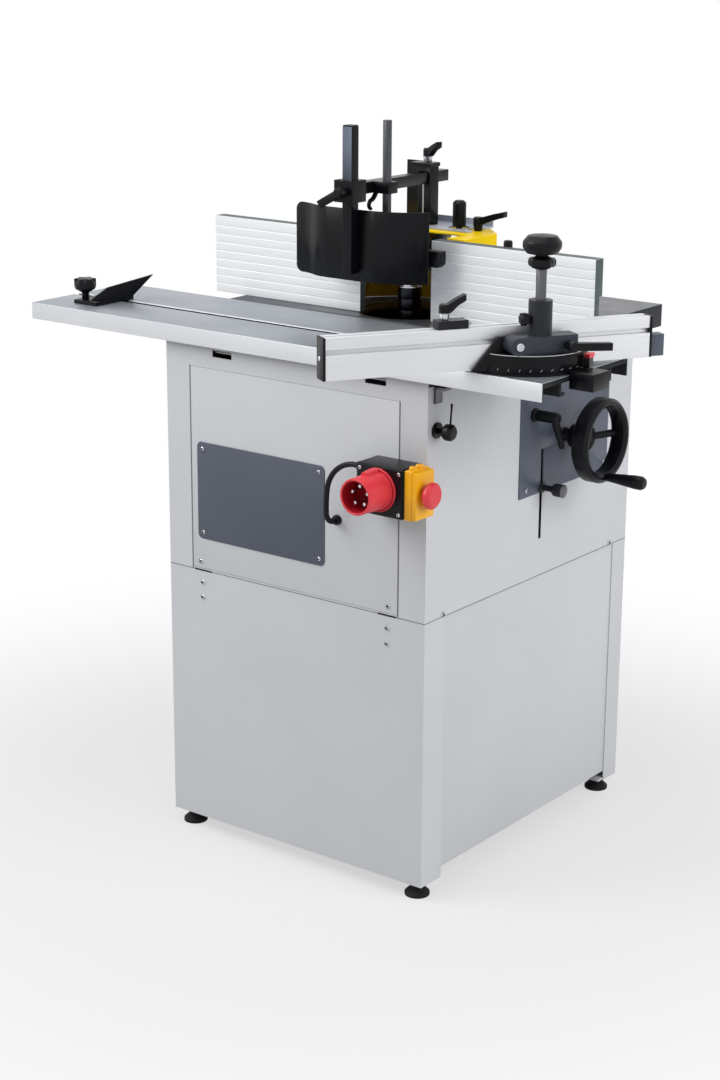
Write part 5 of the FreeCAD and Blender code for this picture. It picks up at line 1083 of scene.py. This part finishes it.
@dataclass
class HeightControls(SubAssembly):
    """The handwheel with its crank handle, the height lock and the clamp beside them."""

    hub_mm: Place = (557.0, 380.0, 679.0)
    hub_cap: Turned = Turned("handwheel_hub_cap", (
        (0.0, -0.4), (15.0, -0.4), (15.0, 1.6), (12.0, 3.2), (6.0, 4.0), (0.0, 4.1),
    ))
    lock_face: Turned = Turned("height_lock_face", (
        (0.0, -0.4), (11.0, -0.4), (11.0, 0.2), (10.0, 0.7), (0.0, 0.5),
    ))
    clamp_mm: Place = (514.0, 286.0, 728.0)
    clamp_stub: Turned = Turned("side_clamp_stub", (
        (0.0, -1.0), (11.0, -1.0), (11.0, 3.0), (9.0, 4.5), (9.0, 41.0), (6.5, 44.0), (0.0, 44.0),
    ), 40)
    clamp_arm_out_mm: float = 35.0
    clamp_arm_mm: Profile = ((0.0, 4.0), (6.0, -12.0), (16.0, -32.0), (25.0, -52.0))
    clamp_widths_mm: tuple[float, ...] = (6.5, 6.5, 5.5, 4.5)

    def build(self) -> None:
        """Make the pieces of the height controls."""
        self.take_over("handwheel", BLACK_PLASTIC, Edge.FULL)
        self.take_over("crank_handle", BLACK_PLASTIC, Edge.GRIP)
        self.take_over("height_lock_knob", CHARCOAL_AND_RECESS_SHADE, Edge.CORNER)

    def dress(self) -> None:
        """Add the caps of the handwheel and the height lock, and the clamp's stub with its hanging arm."""
        cap = self.hub_cap.made(at(*self.hub_mm), X_AXIS)
        self.add(cap, "wheel", BLACK_PLASTIC, Edge.FACED)
        face = centre("height_lock_knob")
        face.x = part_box("height_lock_knob")[1].x
        self.add(self.lock_face.made(face, X_AXIS), "height_lock", GREY_STEEL, Edge.BARE)
        stub = self.clamp_stub.made(at(*self.clamp_mm), X_AXIS)
        self.add(stub, "base", BLACK_PLASTIC, Edge.TURNED)
        x, y, z = self.clamp_mm
        path = [at(x + self.clamp_arm_out_mm, y + across, z + rise) for across, rise in self.clamp_arm_mm]
        self.add(bent_rod("side_clamp_arm", path, self.clamp_widths_mm), "base", BLACK_PLASTIC, Edge.BARE)


@dataclass
class SwitchGear(SubAssembly):
    """The switch box with its inlet, its module, its flap and its cable."""

    mouth_mm: float = 24.7
    mouth_lip_mm: float = 2.0
    lid_low_mm: Place = (421.0, -52.0, 632.0)
    lid_high_mm: Place = (503.0, -49.9, 704.0)
    lid_hole_mm: Place = (460.0, -50.0, 670.0)
    lid_hole_radius_mm: float = 28.0
    screw: Turned = Turned("lid_screw", ((0.0, 0.0), (3.0, 0.0), (3.0, 0.7), (2.3, 1.4), (0.0, 1.5)), 24)
    screw_inset_mm: float = 5.5
    screw_sink_mm: float = 0.3
    cross_mm: float = 3.9
    cross_rise_mm: float = 1.45
    lug_mm: Profile = ((-7.0, -5.0), (7.0, -5.0), (5.0, 2.4), (2.5, 4.4), (-2.5, 4.4), (-5.0, 2.4))
    lug_z_mm: float = 699.0
    lug_start_share: float = 0.62
    lug_long_share: float = 0.8
    lobe: Turned = Turned("module_lobe", (
        (0.0, 0.0), (6.0, 0.0), (6.0, 6.0), (5.2, 7.2), (3.2, 7.2), (3.0, 5.2), (0.0, 5.2),
    ), 32)
    lobes_mm: Profile = ((513.0, -37.0), (513.0, -21.0))
    lobe_sink_mm: float = 2.0

    def build(self) -> None:
        """Make the switch gear's pieces."""
        self.take_over("switch_box", BLACK_PLASTIC, Edge.FULL)
        inlet = self.take_over("power_inlet", RED_PLASTIC, Edge.LIP)
        middle = centre("power_inlet")
        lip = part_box("power_inlet")[0].y + self.mouth_lip_mm * MM
        mouth = self.mouth_mm * MM
        # The faces inside the inlet's mouth get the darker red as painted shade
        self.paint_where(inlet, SHADED_RED_MOUTH, lambda face: (
            math.hypot(face.center.x - middle.x, face.center.z - middle.z) < mouth and face.center.y > lip))
        self.take_over("inlet_pins", BRIGHT_STEEL, Edge.CUT)
        self.take_over("switch_module", YELLOW_PLASTIC, Edge.GRIP)
        self.take_over("switch_flap", YELLOW_PLASTIC, Edge.CORNER)
        self.take_over("stop_button", RED_PLASTIC, Edge.GRIP)
        self.take_over("cable_glands", BLACK_PLASTIC, Edge.CUT)
        self.take_over("switch_cable", BLACK_PLASTIC, Edge.BARE)

    def dress(self) -> None:
        """Add the box's lid with its four screws, the inlet's lug and the lobes of the module."""
        lid = block("switch_box_lid", self.lid_low_mm, self.lid_high_mm)
        drill(lid, at(*self.lid_hole_mm), Y_AXIS, self.lid_hole_radius_mm)
        self.add(lid, "base", BLACK_PLASTIC, Edge.LID)
        (left, front, low), (right, _, high) = self.lid_low_mm, self.lid_high_mm
        inset = self.screw_inset_mm
        spots = [(at(x, front + self.screw_sink_mm, z), -Y_AXIS)
                 for x in (left + inset, right - inset) for z in (low + inset, high - inset)]
        self.repeat("lid_screws", spots, self.screw.made(), "base", BRIGHT_STEEL)
        # Dark crosses paint the shade in the lid screws' recesses
        marks = [(place - Y_AXIS * self.cross_rise_mm * MM, aim) for place, aim in spots]
        cross = cross_recess(self.cross_mm)
        self.repeat("lid_screw_crosses", marks, cross, "base", CHARCOAL_AND_RECESS_SHADE, SCREW_TURN_DEG)
        self.add_lug()
        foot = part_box("switch_module")[1].z - self.lobe_sink_mm * MM
        spots = [(at(x, y, 0.0) + Z_AXIS * foot, Z_AXIS) for x, y in self.lobes_mm]
        self.repeat("module_lobes", spots, self.lobe.made(), "base", YELLOW_PLASTIC)

    def add_lug(self) -> None:
        """Add the guide lug on top of the inlet's shroud."""
        low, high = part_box("power_inlet")
        middle = (low.x + high.x) / 2
        depth = (high.y - low.y) * self.lug_start_share
        foot = self.lug_z_mm * MM
        outline = [Vector((middle + x * MM, high.y - depth, foot + z * MM)) for x, z in self.lug_mm]
        lug = prism("inlet_lug", outline, Y_AXIS * depth * self.lug_long_share)
        self.add(lug, "base", RED_PLASTIC, Edge.LUG)


@dataclass
class MitreGauge(SubAssembly):
    """The mitre gauge with its bar, its stop and its hold-down."""

    socket_mm: float = 912.6
    cap_start_mm: float = 184.0
    cap_skin_mm: float = 0.5
    scale_mm: Span = (86.5, 90.6)
    scale_deg: Span = (28.0, 152.0)
    scale_facets: int = 48
    scale_z_mm: float = 886.3
    scale_thick_mm: float = 0.9
    tick_mm: Profile = ((-0.4, -2.0), (0.4, -2.0), (0.4, 2.0), (-0.4, 2.0))
    tick_sink_mm: float = 0.1
    tick_thick_mm: float = 0.35
    tick_ring_mm: float = 90.0
    tick_z_mm: float = 866.0
    ticks_deg: range = range(40, 141, 10)
    arm_screw: Turned = Turned("arm_screw", (
        (0.0, -0.5), (6.0, -0.5), (6.0, 2.4), (5.2, 3.2), (3.0, 3.2), (2.6, 1.6), (0.0, 1.6),
    ), 32)
    arm_screw_mm: Place = (-45.0, 38.0, 899.5)
    # Corners round the pivot, each by its radius in millimetres and its angle in degrees
    catch_corners: Profile = ((86.0, 42.0), (102.0, 43.0), (102.0, 52.0), (86.0, 53.0))
    catch_z_mm: float = 863.2
    catch_tall_mm: float = 13.8
    tab_corners: Profile = ((91.4, 47.5), (94.0, 43.0), (103.5, 42.0), (103.5, 53.5), (94.0, 52.0))
    tab_z_mm: float = 876.8
    tab_tall_mm: float = 6.0
    thumbscrew: Turned = Turned("socket_thumbscrew", (
        (0.0, -1.0), (3.0, -1.0), (3.0, 4.0), (7.5, 5.0), (8.5, 8.0), (8.0, 14.0), (5.5, 16.0), (0.0, 16.4),
    ), 32)
    thumbscrew_z_mm: float = 936.0
    socket_side_mm: float = 15.0
    grip_start_mm: float = 5.5
    grip_ring_mm: float = 7.6
    grip_lobes: int = 7
    grip_lobe_mm: Span = (1.7, 9.5)
    cap_screw: Turned = Turned("cap_screw", (
        (0.0, -0.4), (3.4, -0.4), (3.4, 0.9), (2.6, 1.7), (1.2, 1.7), (1.0, 0.7), (0.0, 0.7),
    ), 24)
    cap_face_mm: Place = (-324.0, -13.0, 893.0)
    stop_tip: Turned = Turned("stop_tip", (
        (0.0, -1.0), (5.2, -1.0), (5.2, 3.0), (4.4, 5.0), (2.4, 8.0), (0.0, 8.4),
    ), 32)
    stop_end_mm: Place = (-106.0, -13.0, 929.2)
    collar_lobe: Turned = Turned("collar_lobe", (
        (0.0, 0.0), (3.8, 0.6), (6.0, 3.2), (6.4, 7.0), (6.0, 10.8), (3.8, 13.4), (0.0, 14.0),
    ), 24)
    collar_lobes: int = 5
    collar_ring_mm: float = 14.2
    collar_rise_mm: float = 2.0

    def build(self) -> None:
        """Make the mitre gauge's pieces."""
        self.take_over("gauge_disc", BLACK_PAINT, Edge.SAWN)
        self.take_over("gauge_base", BLACK_PAINT, Edge.SHEET)
        arm = self.take_over("gauge_arm", DARK_SLATE, Edge.GRIP)
        self.paint_where(arm, CHARCOAL_AND_RECESS_SHADE, lambda face: face.center.z > self.socket_mm * MM)
        self.take_over("gauge_lever", BLACK_PLASTIC, Edge.GRIP)
        self.take_over("mitre_bar", ANODISED_BAR, Edge.TURNED)
        caps = self.take_over("bar_end_caps", BLACK_PLASTIC, Edge.SAWN)
        start = by_bar(self.cap_start_mm, 0.0, 0.0)
        along = self.bar_way()
        self.paint_where(caps, SLATE_PAINT, lambda face: (
            (face.center - start).dot(along) > self.cap_skin_mm * MM))
        self.take_over("stop_block", DARK_STEEL, Edge.SHEET)
        self.take_over_lever("stop_lever")
        self.take_over("hold_rod", GREY_STEEL, Edge.CUT)
        self.take_over("hold_knob", BLACK_PLASTIC, Edge.FULL)

    def bar_way(self) -> Vector:
        """Give the bar's own direction."""
        return (by_bar(1.0, 0.0, 0.0) - by_bar(0.0, 0.0, 0.0)).normalized()

    def round_pivot(self, radius_mm: float, angle_deg: float, z: float) -> Vector:
        """Give a place round the pivot, with the bar's own way at zero and its front at ninety degrees."""
        turn = math.radians(BAR_DEG - angle_deg)
        return at(PIVOT_MM[0] + radius_mm * math.cos(turn), PIVOT_MM[1] + radius_mm * math.sin(turn), z)

    def dress(self) -> None:
        """Add the scale, the arm's screw, the index catch, the thumbscrew and the bar's fittings."""
        self.add_scale()
        out = (by_bar(0.0, 1.0, 0.0) - by_bar(0.0, 0.0, 0.0)).normalized()
        head = self.arm_screw.made(by_bar(*self.arm_screw_mm), out)
        self.add(head, "gauge", BRIGHT_STEEL, Edge.FACED)
        self.add_index()
        self.add_thumbscrew()
        self.fit_bar()

    def add_scale(self) -> None:
        """Add the bright scale on the rim of the swivel base, and its marks."""
        first, last = self.scale_deg
        inner, outer = self.scale_mm
        count = self.scale_facets
        angles = [first + (last - first) * number / count for number in range(count + 1)]
        outline = [self.round_pivot(outer, angle, self.scale_z_mm) for angle in angles]
        outline += [self.round_pivot(inner, angle, self.scale_z_mm) for angle in reversed(angles)]
        scale = prism("gauge_scale", outline, Z_AXIS * self.scale_thick_mm * MM)
        self.add(scale, "gauge", BRIGHT_STEEL, Edge.BARE)
        spots = []
        for angle in self.ticks_deg:
            place = self.round_pivot(self.tick_ring_mm, angle, self.tick_z_mm)
            spots.append((place, place - self.round_pivot(0.0, angle, self.tick_z_mm)))
        corners = [Vector((x, y, -self.tick_sink_mm)) * MM for x, y in self.tick_mm]
        tick = prism("tick", corners, Z_AXIS * self.tick_thick_mm * MM)
        self.repeat("gauge_ticks", spots, tick, "gauge", MARK_PAINT)

    def add_index(self) -> None:
        """Add the index catch on the rim of the swivel base, with its red tab."""
        for name, finish, corners, foot_mm, tall_mm in (
                ("index_catch", BLACK_PAINT, self.catch_corners, self.catch_z_mm, self.catch_tall_mm),
                ("index_tab", RED_PLASTIC, self.tab_corners, self.tab_z_mm, self.tab_tall_mm)):
            outline = [self.round_pivot(radius, angle, foot_mm) for radius, angle in corners]
            self.add(prism(name, outline, Z_AXIS * tall_mm * MM), "gauge", finish, Edge.SHEET)

    def add_thumbscrew(self) -> None:
        """Add the small thumbscrew that clamps the hold-down rod in its socket."""
        rod = centre("hold_rod")
        along = self.bar_way()
        foot = Vector((rod.x, rod.y, self.thumbscrew_z_mm * MM)) - along * self.socket_side_mm * MM
        self.add(self.thumbscrew.made(foot, -along), "gauge", BLACK_PLASTIC, Edge.FACED)
        spots = ring_of(foot - along * self.grip_start_mm * MM, -along, self.grip_ring_mm, self.grip_lobes)
        self.repeat("thumbscrew_lobes", spots, knob_rib(*self.grip_lobe_mm), "gauge", BLACK_PLASTIC)

    def fit_bar(self) -> None:
        """Add the bar cap's screw, the stop's bright tip and the lobes of the hold-down's collar."""
        along = self.bar_way()
        screw = self.cap_screw.made(by_bar(*self.cap_face_mm), -along)
        self.add(screw, "bar", BRIGHT_STEEL, Edge.BARE)
        tip = self.stop_tip.made(by_bar(*self.stop_end_mm), along)
        self.add(tip, "stop", BRIGHT_STEEL, Edge.HAIR)
        foot = centre("hold_knob")
        foot.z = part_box("hold_knob")[0].z + self.collar_rise_mm * MM
        spots = ring_of(foot, Z_AXIS, self.collar_ring_mm, self.collar_lobes)
        self.repeat("collar_lobes", spots, self.collar_lobe.made(), "hold", BLACK_PLASTIC)


@dataclass
class Fence(SubAssembly):
    """The fence plates, their carrier, the hood and its fittings."""

    top_facing: float = 0.98
    hood_rim_mm: float = 6.0
    hood_wall_mm: float = 1.0
    sheet_mm: Span = (205.0, 333.0)
    sheet_profile_mm: Profile = ((352.0, 987.6), (427.0, 987.6), (427.0, 1000.0), (424.6, 1000.0),
                                 (424.6, 990.0), (352.0, 990.0))
    # Place across and along the sheet, and radius, of the holes for the knob, the lever and the post
    sheet_holes_mm: tuple[Place, ...] = ((295.0, 384.0, 17.0), (332.0, 384.0, 17.0), (231.0, 384.0, 17.5))
    sheet_z_mm: float = 989.0
    plate_knob: Turned = Turned("plate_knob", (
        (0.0, -0.3), (6.0, -0.3), (6.0, 4.0), (6.8, 5.0), (6.8, 24.0), (5.6, 26.2), (0.0, 26.5),
    ), 32)
    plate_knob_mm: Place = (456.0, 284.4, 969.5)
    rib_start_mm: float = 5.0
    rib_ring_mm: float = 6.5
    rib_count: int = 12
    rib_mm: Span = (0.7, 19.5)
    post_cap_low_mm: Place = (206.0, 370.0, 1083.5)
    post_cap_high_mm: Place = (246.0, 398.0, 1089.8)
    # A thin bright rod on the post's front corner paints the highlight of that edge
    post_rod: Turned = Turned("post_rod", (
        (0.0, 0.0), (1.4, 0.0), (1.4, 54.0), (1.0, 54.6), (0.0, 54.6),
    ), 20)
    post_edge_glint_mm: Place = (231.0, 372.3, 1001.0)

    def build(self) -> None:
        """Make the fence's pieces."""
        for node in ("fence_plate_left", "fence_plate_right"):
            plate = self.take_over(node, FENCE_FACE, Edge.TURNED)
            # The end faces are the dark sawn ends; the top faces are painted dark as painted shade
            self.paint_where(plate, SAWN_END_AND_TOP_SHADE, lambda face: (
                abs(face.normal.x) > FACING or face.normal.z > self.top_facing))
        self.take_over("fence_carrier", BLACK_PAINT, Edge.SAWN)
        hood = self.take_over("fence_hood", HOOD_PAINT, Edge.SHEET)
        low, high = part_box("fence_hood")
        middle = centre("fence_hood")
        rim = self.hood_rim_mm * MM
        wall = self.hood_wall_mm * MM
        # The hood's inner faces get the darker yellow as painted shade
        self.paint_where(hood, SHADED_HOOD_INSIDE, lambda face: (
            low.x + wall < face.center.x < high.x - wall and low.y + rim < face.center.y < high.y - wall and
            face.center.z < high.z - wall and face.normal.dot(middle - face.center) > 0.0))
        self.take_over("dust_outlet", BLACK_PLASTIC, Edge.SHEET)
        self.take_over("guard_post", BLACK_PAINT, Edge.SHEET)
        self.take_over_all(("fence_lever", "adjust_knob"), BLACK_PLASTIC, Edge.GRIP)

    def dress(self) -> None:
        """Add the folded sheet on the hood, the plate's ribbed knob, the post's cap, and a thin bright rod
        that paints the highlight on the post's edge.
        """
        left, right = self.sheet_mm
        outline = [at(left, y, z) for y, z in self.sheet_profile_mm]
        sheet = prism("hood_sheet", outline, X_AXIS * (right - left) * MM)
        for x, y, radius in self.sheet_holes_mm:
            drill(sheet, at(x, y, self.sheet_z_mm), Z_AXIS, radius)
        self.add(sheet, "fence", GREY_PAINT, Edge.CUT)
        self.add(self.plate_knob.made(at(*self.plate_knob_mm)), "fence", BLACK_PLASTIC, Edge.FACED)
        cap = block("post_cap", self.post_cap_low_mm, self.post_cap_high_mm)
        self.add(cap, "fence", BLACK_PAINT, Edge.SHEET)
        self.add(self.post_rod.made(at(*self.post_edge_glint_mm)), "fence", BRIGHT_STEEL, Edge.BARE)
        x, y, z = self.plate_knob_mm
        spots = ring_of(at(x, y, z + self.rib_start_mm), Z_AXIS, self.rib_ring_mm, self.rib_count)
        self.repeat("plate_knob_ribs", spots, knob_rib(*self.rib_mm), "fence", BLACK_PLASTIC)


@dataclass
class Guard(SubAssembly):
    """The guard arm, the hand guard and the presser on its rod."""

    front_skin_mm: float = 2.0
    catch_path_mm: tuple[Place, ...] = (
        (231.0, 246.0, 1057.5), (231.0, 236.0, 1046.0), (231.0, 227.0, 1041.0),
        (231.0, 226.0, 1034.0), (231.0, 231.0, 1030.0),
    )
    catch_widths_mm: tuple[float, ...] = (4.0, 3.8, 3.4, 3.2, 2.8)
    tube_at_mm: Span = (243.5, 161.0)
    tube_half_mm: float = 8.7
    tube_cap_sink_mm: float = 0.4
    tube_cap_tall_mm: float = 2.6

    def build(self) -> None:
        """Make the guard's pieces."""
        self.take_over("guard_arm", BLACK_PAINT, Edge.SHEET)
        guard = self.take_over("hand_guard", BLACK_PAINT, Edge.SHEET)
        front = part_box("hand_guard")[0].y + self.front_skin_mm * MM
        # The front faces of the guard's tube get a painted sheen that fades into black below
        self.paint_where(guard, PAINTED_TUBE_SHEEN, lambda face: face.normal.y < -FACING and face.center.y < front)
        self.take_over("press_rod", ROD_STEEL, Edge.TURNED)
        self.take_over("press_shoe", BLACK_PLASTIC, Edge.SHEET)
        self.take_over_lever("post_lever")
        self.take_over("tube_lever", BLACK_PLASTIC, Edge.GRIP)

    def dress(self) -> None:
        """Add the small curved catch under the arm and the cap pressed into the guard's upright tube."""
        catch = bent_rod("arm_catch", [at(*point) for point in self.catch_path_mm], self.catch_widths_mm)
        self.add(catch, "arm", BLACK_PLASTIC, Edge.BARE)
        x, y = self.tube_at_mm
        half = self.tube_half_mm
        foot = Z_AXIS * (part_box("hand_guard")[1].z - self.tube_cap_sink_mm * MM)
        corners = ((-half, -half), (half, -half), (half, half), (-half, half))
        outline = [at(x + across, y + along, 0.0) + foot for across, along in corners]
        cap = prism("tube_cap", outline, Z_AXIS * self.tube_cap_tall_mm * MM)
        self.add(cap, "guard", BLACK_PLASTIC, Edge.CORNER)


@dataclass(frozen=True)
class Lamp:
    """One soft square light, with its sizes in metres.

    A lamp that isn't mirrored stays out of reflections, where it would burn out the pale bar that faces it.
    """

    name: str
    place: Place
    size: float
    watts: float
    mirrored: bool = True

    def hang(self, target: Vector) -> None:
        """Hang the lamp in the scene.

        Args:
            target: The place that it faces.
        """
        data = bpy.data.lights.new(self.name, "AREA")
        data.size = self.size
        data.energy = self.watts
        light = linked(self.name, data)
        light.location = self.place
        light.visible_glossy = self.mirrored
        light.rotation_mode = "QUATERNION"
        light.rotation_quaternion = (target - Vector(self.place)).to_track_quat("-Z", "Y")


@dataclass
class Studio:
    """The floor, the soft light and the camera, with sizes in metres."""

    floor_half: float = 30.0
    floor_colour: str = "C6C6C6"
    fade_from: Span = (0.5, 1.5)
    fade_to: Span = (0.60, 1.0)
    sky_strength: Span = (0.42, 1.0)
    lit_height: float = 0.7
    lamps: tuple[Lamp, ...] = (
        Lamp("key", (2.9, 0.3, 2.0), 2.2, 58.0, mirrored=False),
        Lamp("fill", (-1.6, -1.9, 2.5), 1.8, 53.0),
        Lamp("top", (0.0, -0.9, 4.2), 3.0, 43.0),
    )
    lens_mm: float = 71.25
    sensor_mm: float = 36.0
    azimuth_deg: float = 37.231
    elevation_deg: float = 16.597
    roll_deg: float = 0.331
    camera_place: Place = (2.02776, -2.67926, 1.4931)

    def build(self) -> None:
        """Make the floor, the lights and the camera."""
        self.lay_floor()
        self.light()
        self.set_camera()

    def lay_floor(self) -> None:
        """Lay a plain pale floor that keeps the machine's shadow."""
        half = self.floor_half
        corners = [(-half, -half, 0), (half, -half, 0), (half, half, 0), (-half, half, 0)]
        mesh = bpy.data.meshes.new("floor")
        mesh.from_pydata(corners, [], [(0, 1, 2, 3)])
        floor = linked("floor", mesh)
        mesh.materials.append(self.floor_paint())

    def floor_paint(self) -> bpy.types.Material:
        """Make the floor's paint, which turns to plain white away from the machine where it is looked at.

        Returns:
            The paint.
        """
        paint = bpy.data.materials.new("pale_floor")
        paint.use_nodes = True
        tree = paint.node_tree
        tree.nodes.clear()
        place = add_node(tree, "ShaderNodeTexCoord").outputs["Object"]
        away = add_node(tree, "ShaderNodeVectorMath", {0: place}, operation="LENGTH").outputs["Value"]
        fade = spread(tree, away, self.fade_from, self.fade_to, interpolation_type="SMOOTHSTEP")
        share = add_node(tree, "ShaderNodeMath", {
            0: self.looked_at(tree), 1: fade,
        }, operation="MULTIPLY").outputs[0]
        matt = add_node(tree, "ShaderNodeBsdfDiffuse", {"Color": linear(self.floor_colour)}).outputs["BSDF"]
        white = add_node(tree, "ShaderNodeEmission", {
            "Color": linear("FFFFFF"), "Strength": 1.0,
        }).outputs["Emission"]
        both = add_node(tree, "ShaderNodeMixShader", {0: share, 1: matt, 2: white}).outputs["Shader"]
        add_node(tree, "ShaderNodeOutputMaterial", {"Surface": both})
        return paint

    def looked_at(self, tree: bpy.types.NodeTree) -> bpy.types.NodeSocket:
        """Tell the rays that look at the surround from those that light the machine.

        Args:
            tree: The node tree that asks.

        Returns:
            One for a ray that looks, and zero for a ray that lights.
        """
        path = add_node(tree, "ShaderNodeLightPath").outputs
        seen = path["Is Camera Ray"]
        for kind in ("Is Glossy Ray", "Is Transmission Ray"):
            seen = add_node(tree, "ShaderNodeMath", {0: seen, 1: path[kind]}, operation="MAXIMUM").outputs[0]
        return seen

    def light(self) -> None:
        """Hang soft lights round the machine, before a white surround."""
        world = bpy.data.worlds.new("white_surround")
        bpy.context.scene.world = world
        world.use_nodes = True
        tree = world.node_tree
        tree.nodes.clear()
        strength = spread(tree, self.looked_at(tree), (0.0, 1.0), self.sky_strength)
        sky = add_node(tree, "ShaderNodeBackground", {"Color": linear("FFFFFF"), "Strength": strength})
        add_node(tree, "ShaderNodeOutputWorld", {"Surface": sky.outputs["Background"]})
        for lamp in self.lamps:
            lamp.hang(Z_AXIS * self.lit_height)

    def set_camera(self) -> None:
        """Set the camera where the photograph was taken from."""
        azimuth = math.radians(self.azimuth_deg)
        elevation = math.radians(self.elevation_deg)
        roll = math.radians(self.roll_deg)
        level = math.cos(elevation)
        back = Vector((math.sin(azimuth) * level, -math.cos(azimuth) * level, math.sin(elevation)))
        right = (-back).cross(Z_AXIS).normalized()
        up = right.cross(-back)
        across = right * math.cos(roll) + up * math.sin(roll)
        above = back.cross(across)
        data = bpy.data.cameras.new("camera")
        data.lens = self.lens_mm
        data.sensor_width = self.sensor_mm
        camera = linked("camera", data)
        turn = Matrix((across, above, back)).transposed().to_4x4()
        camera.matrix_world = Matrix.Translation(self.camera_place) @ turn
        bpy.context.scene.camera = camera
        bpy.context.scene.view_settings.view_transform = "Standard"


def main() -> None:
    """Build the sub-assemblies in order, then the studio."""
    logging.basicConfig(level=logging.INFO, format="%(message)s")
    for assembly in (Cabinet(), Tables(), SpindleDrive(), HeightControls(), SwitchGear(), MitreGauge(),
                     Fence(), Guard()):
        assembly.build()
        assembly.dress()
    Studio().build()


if __name__ == "__main__":
    main()
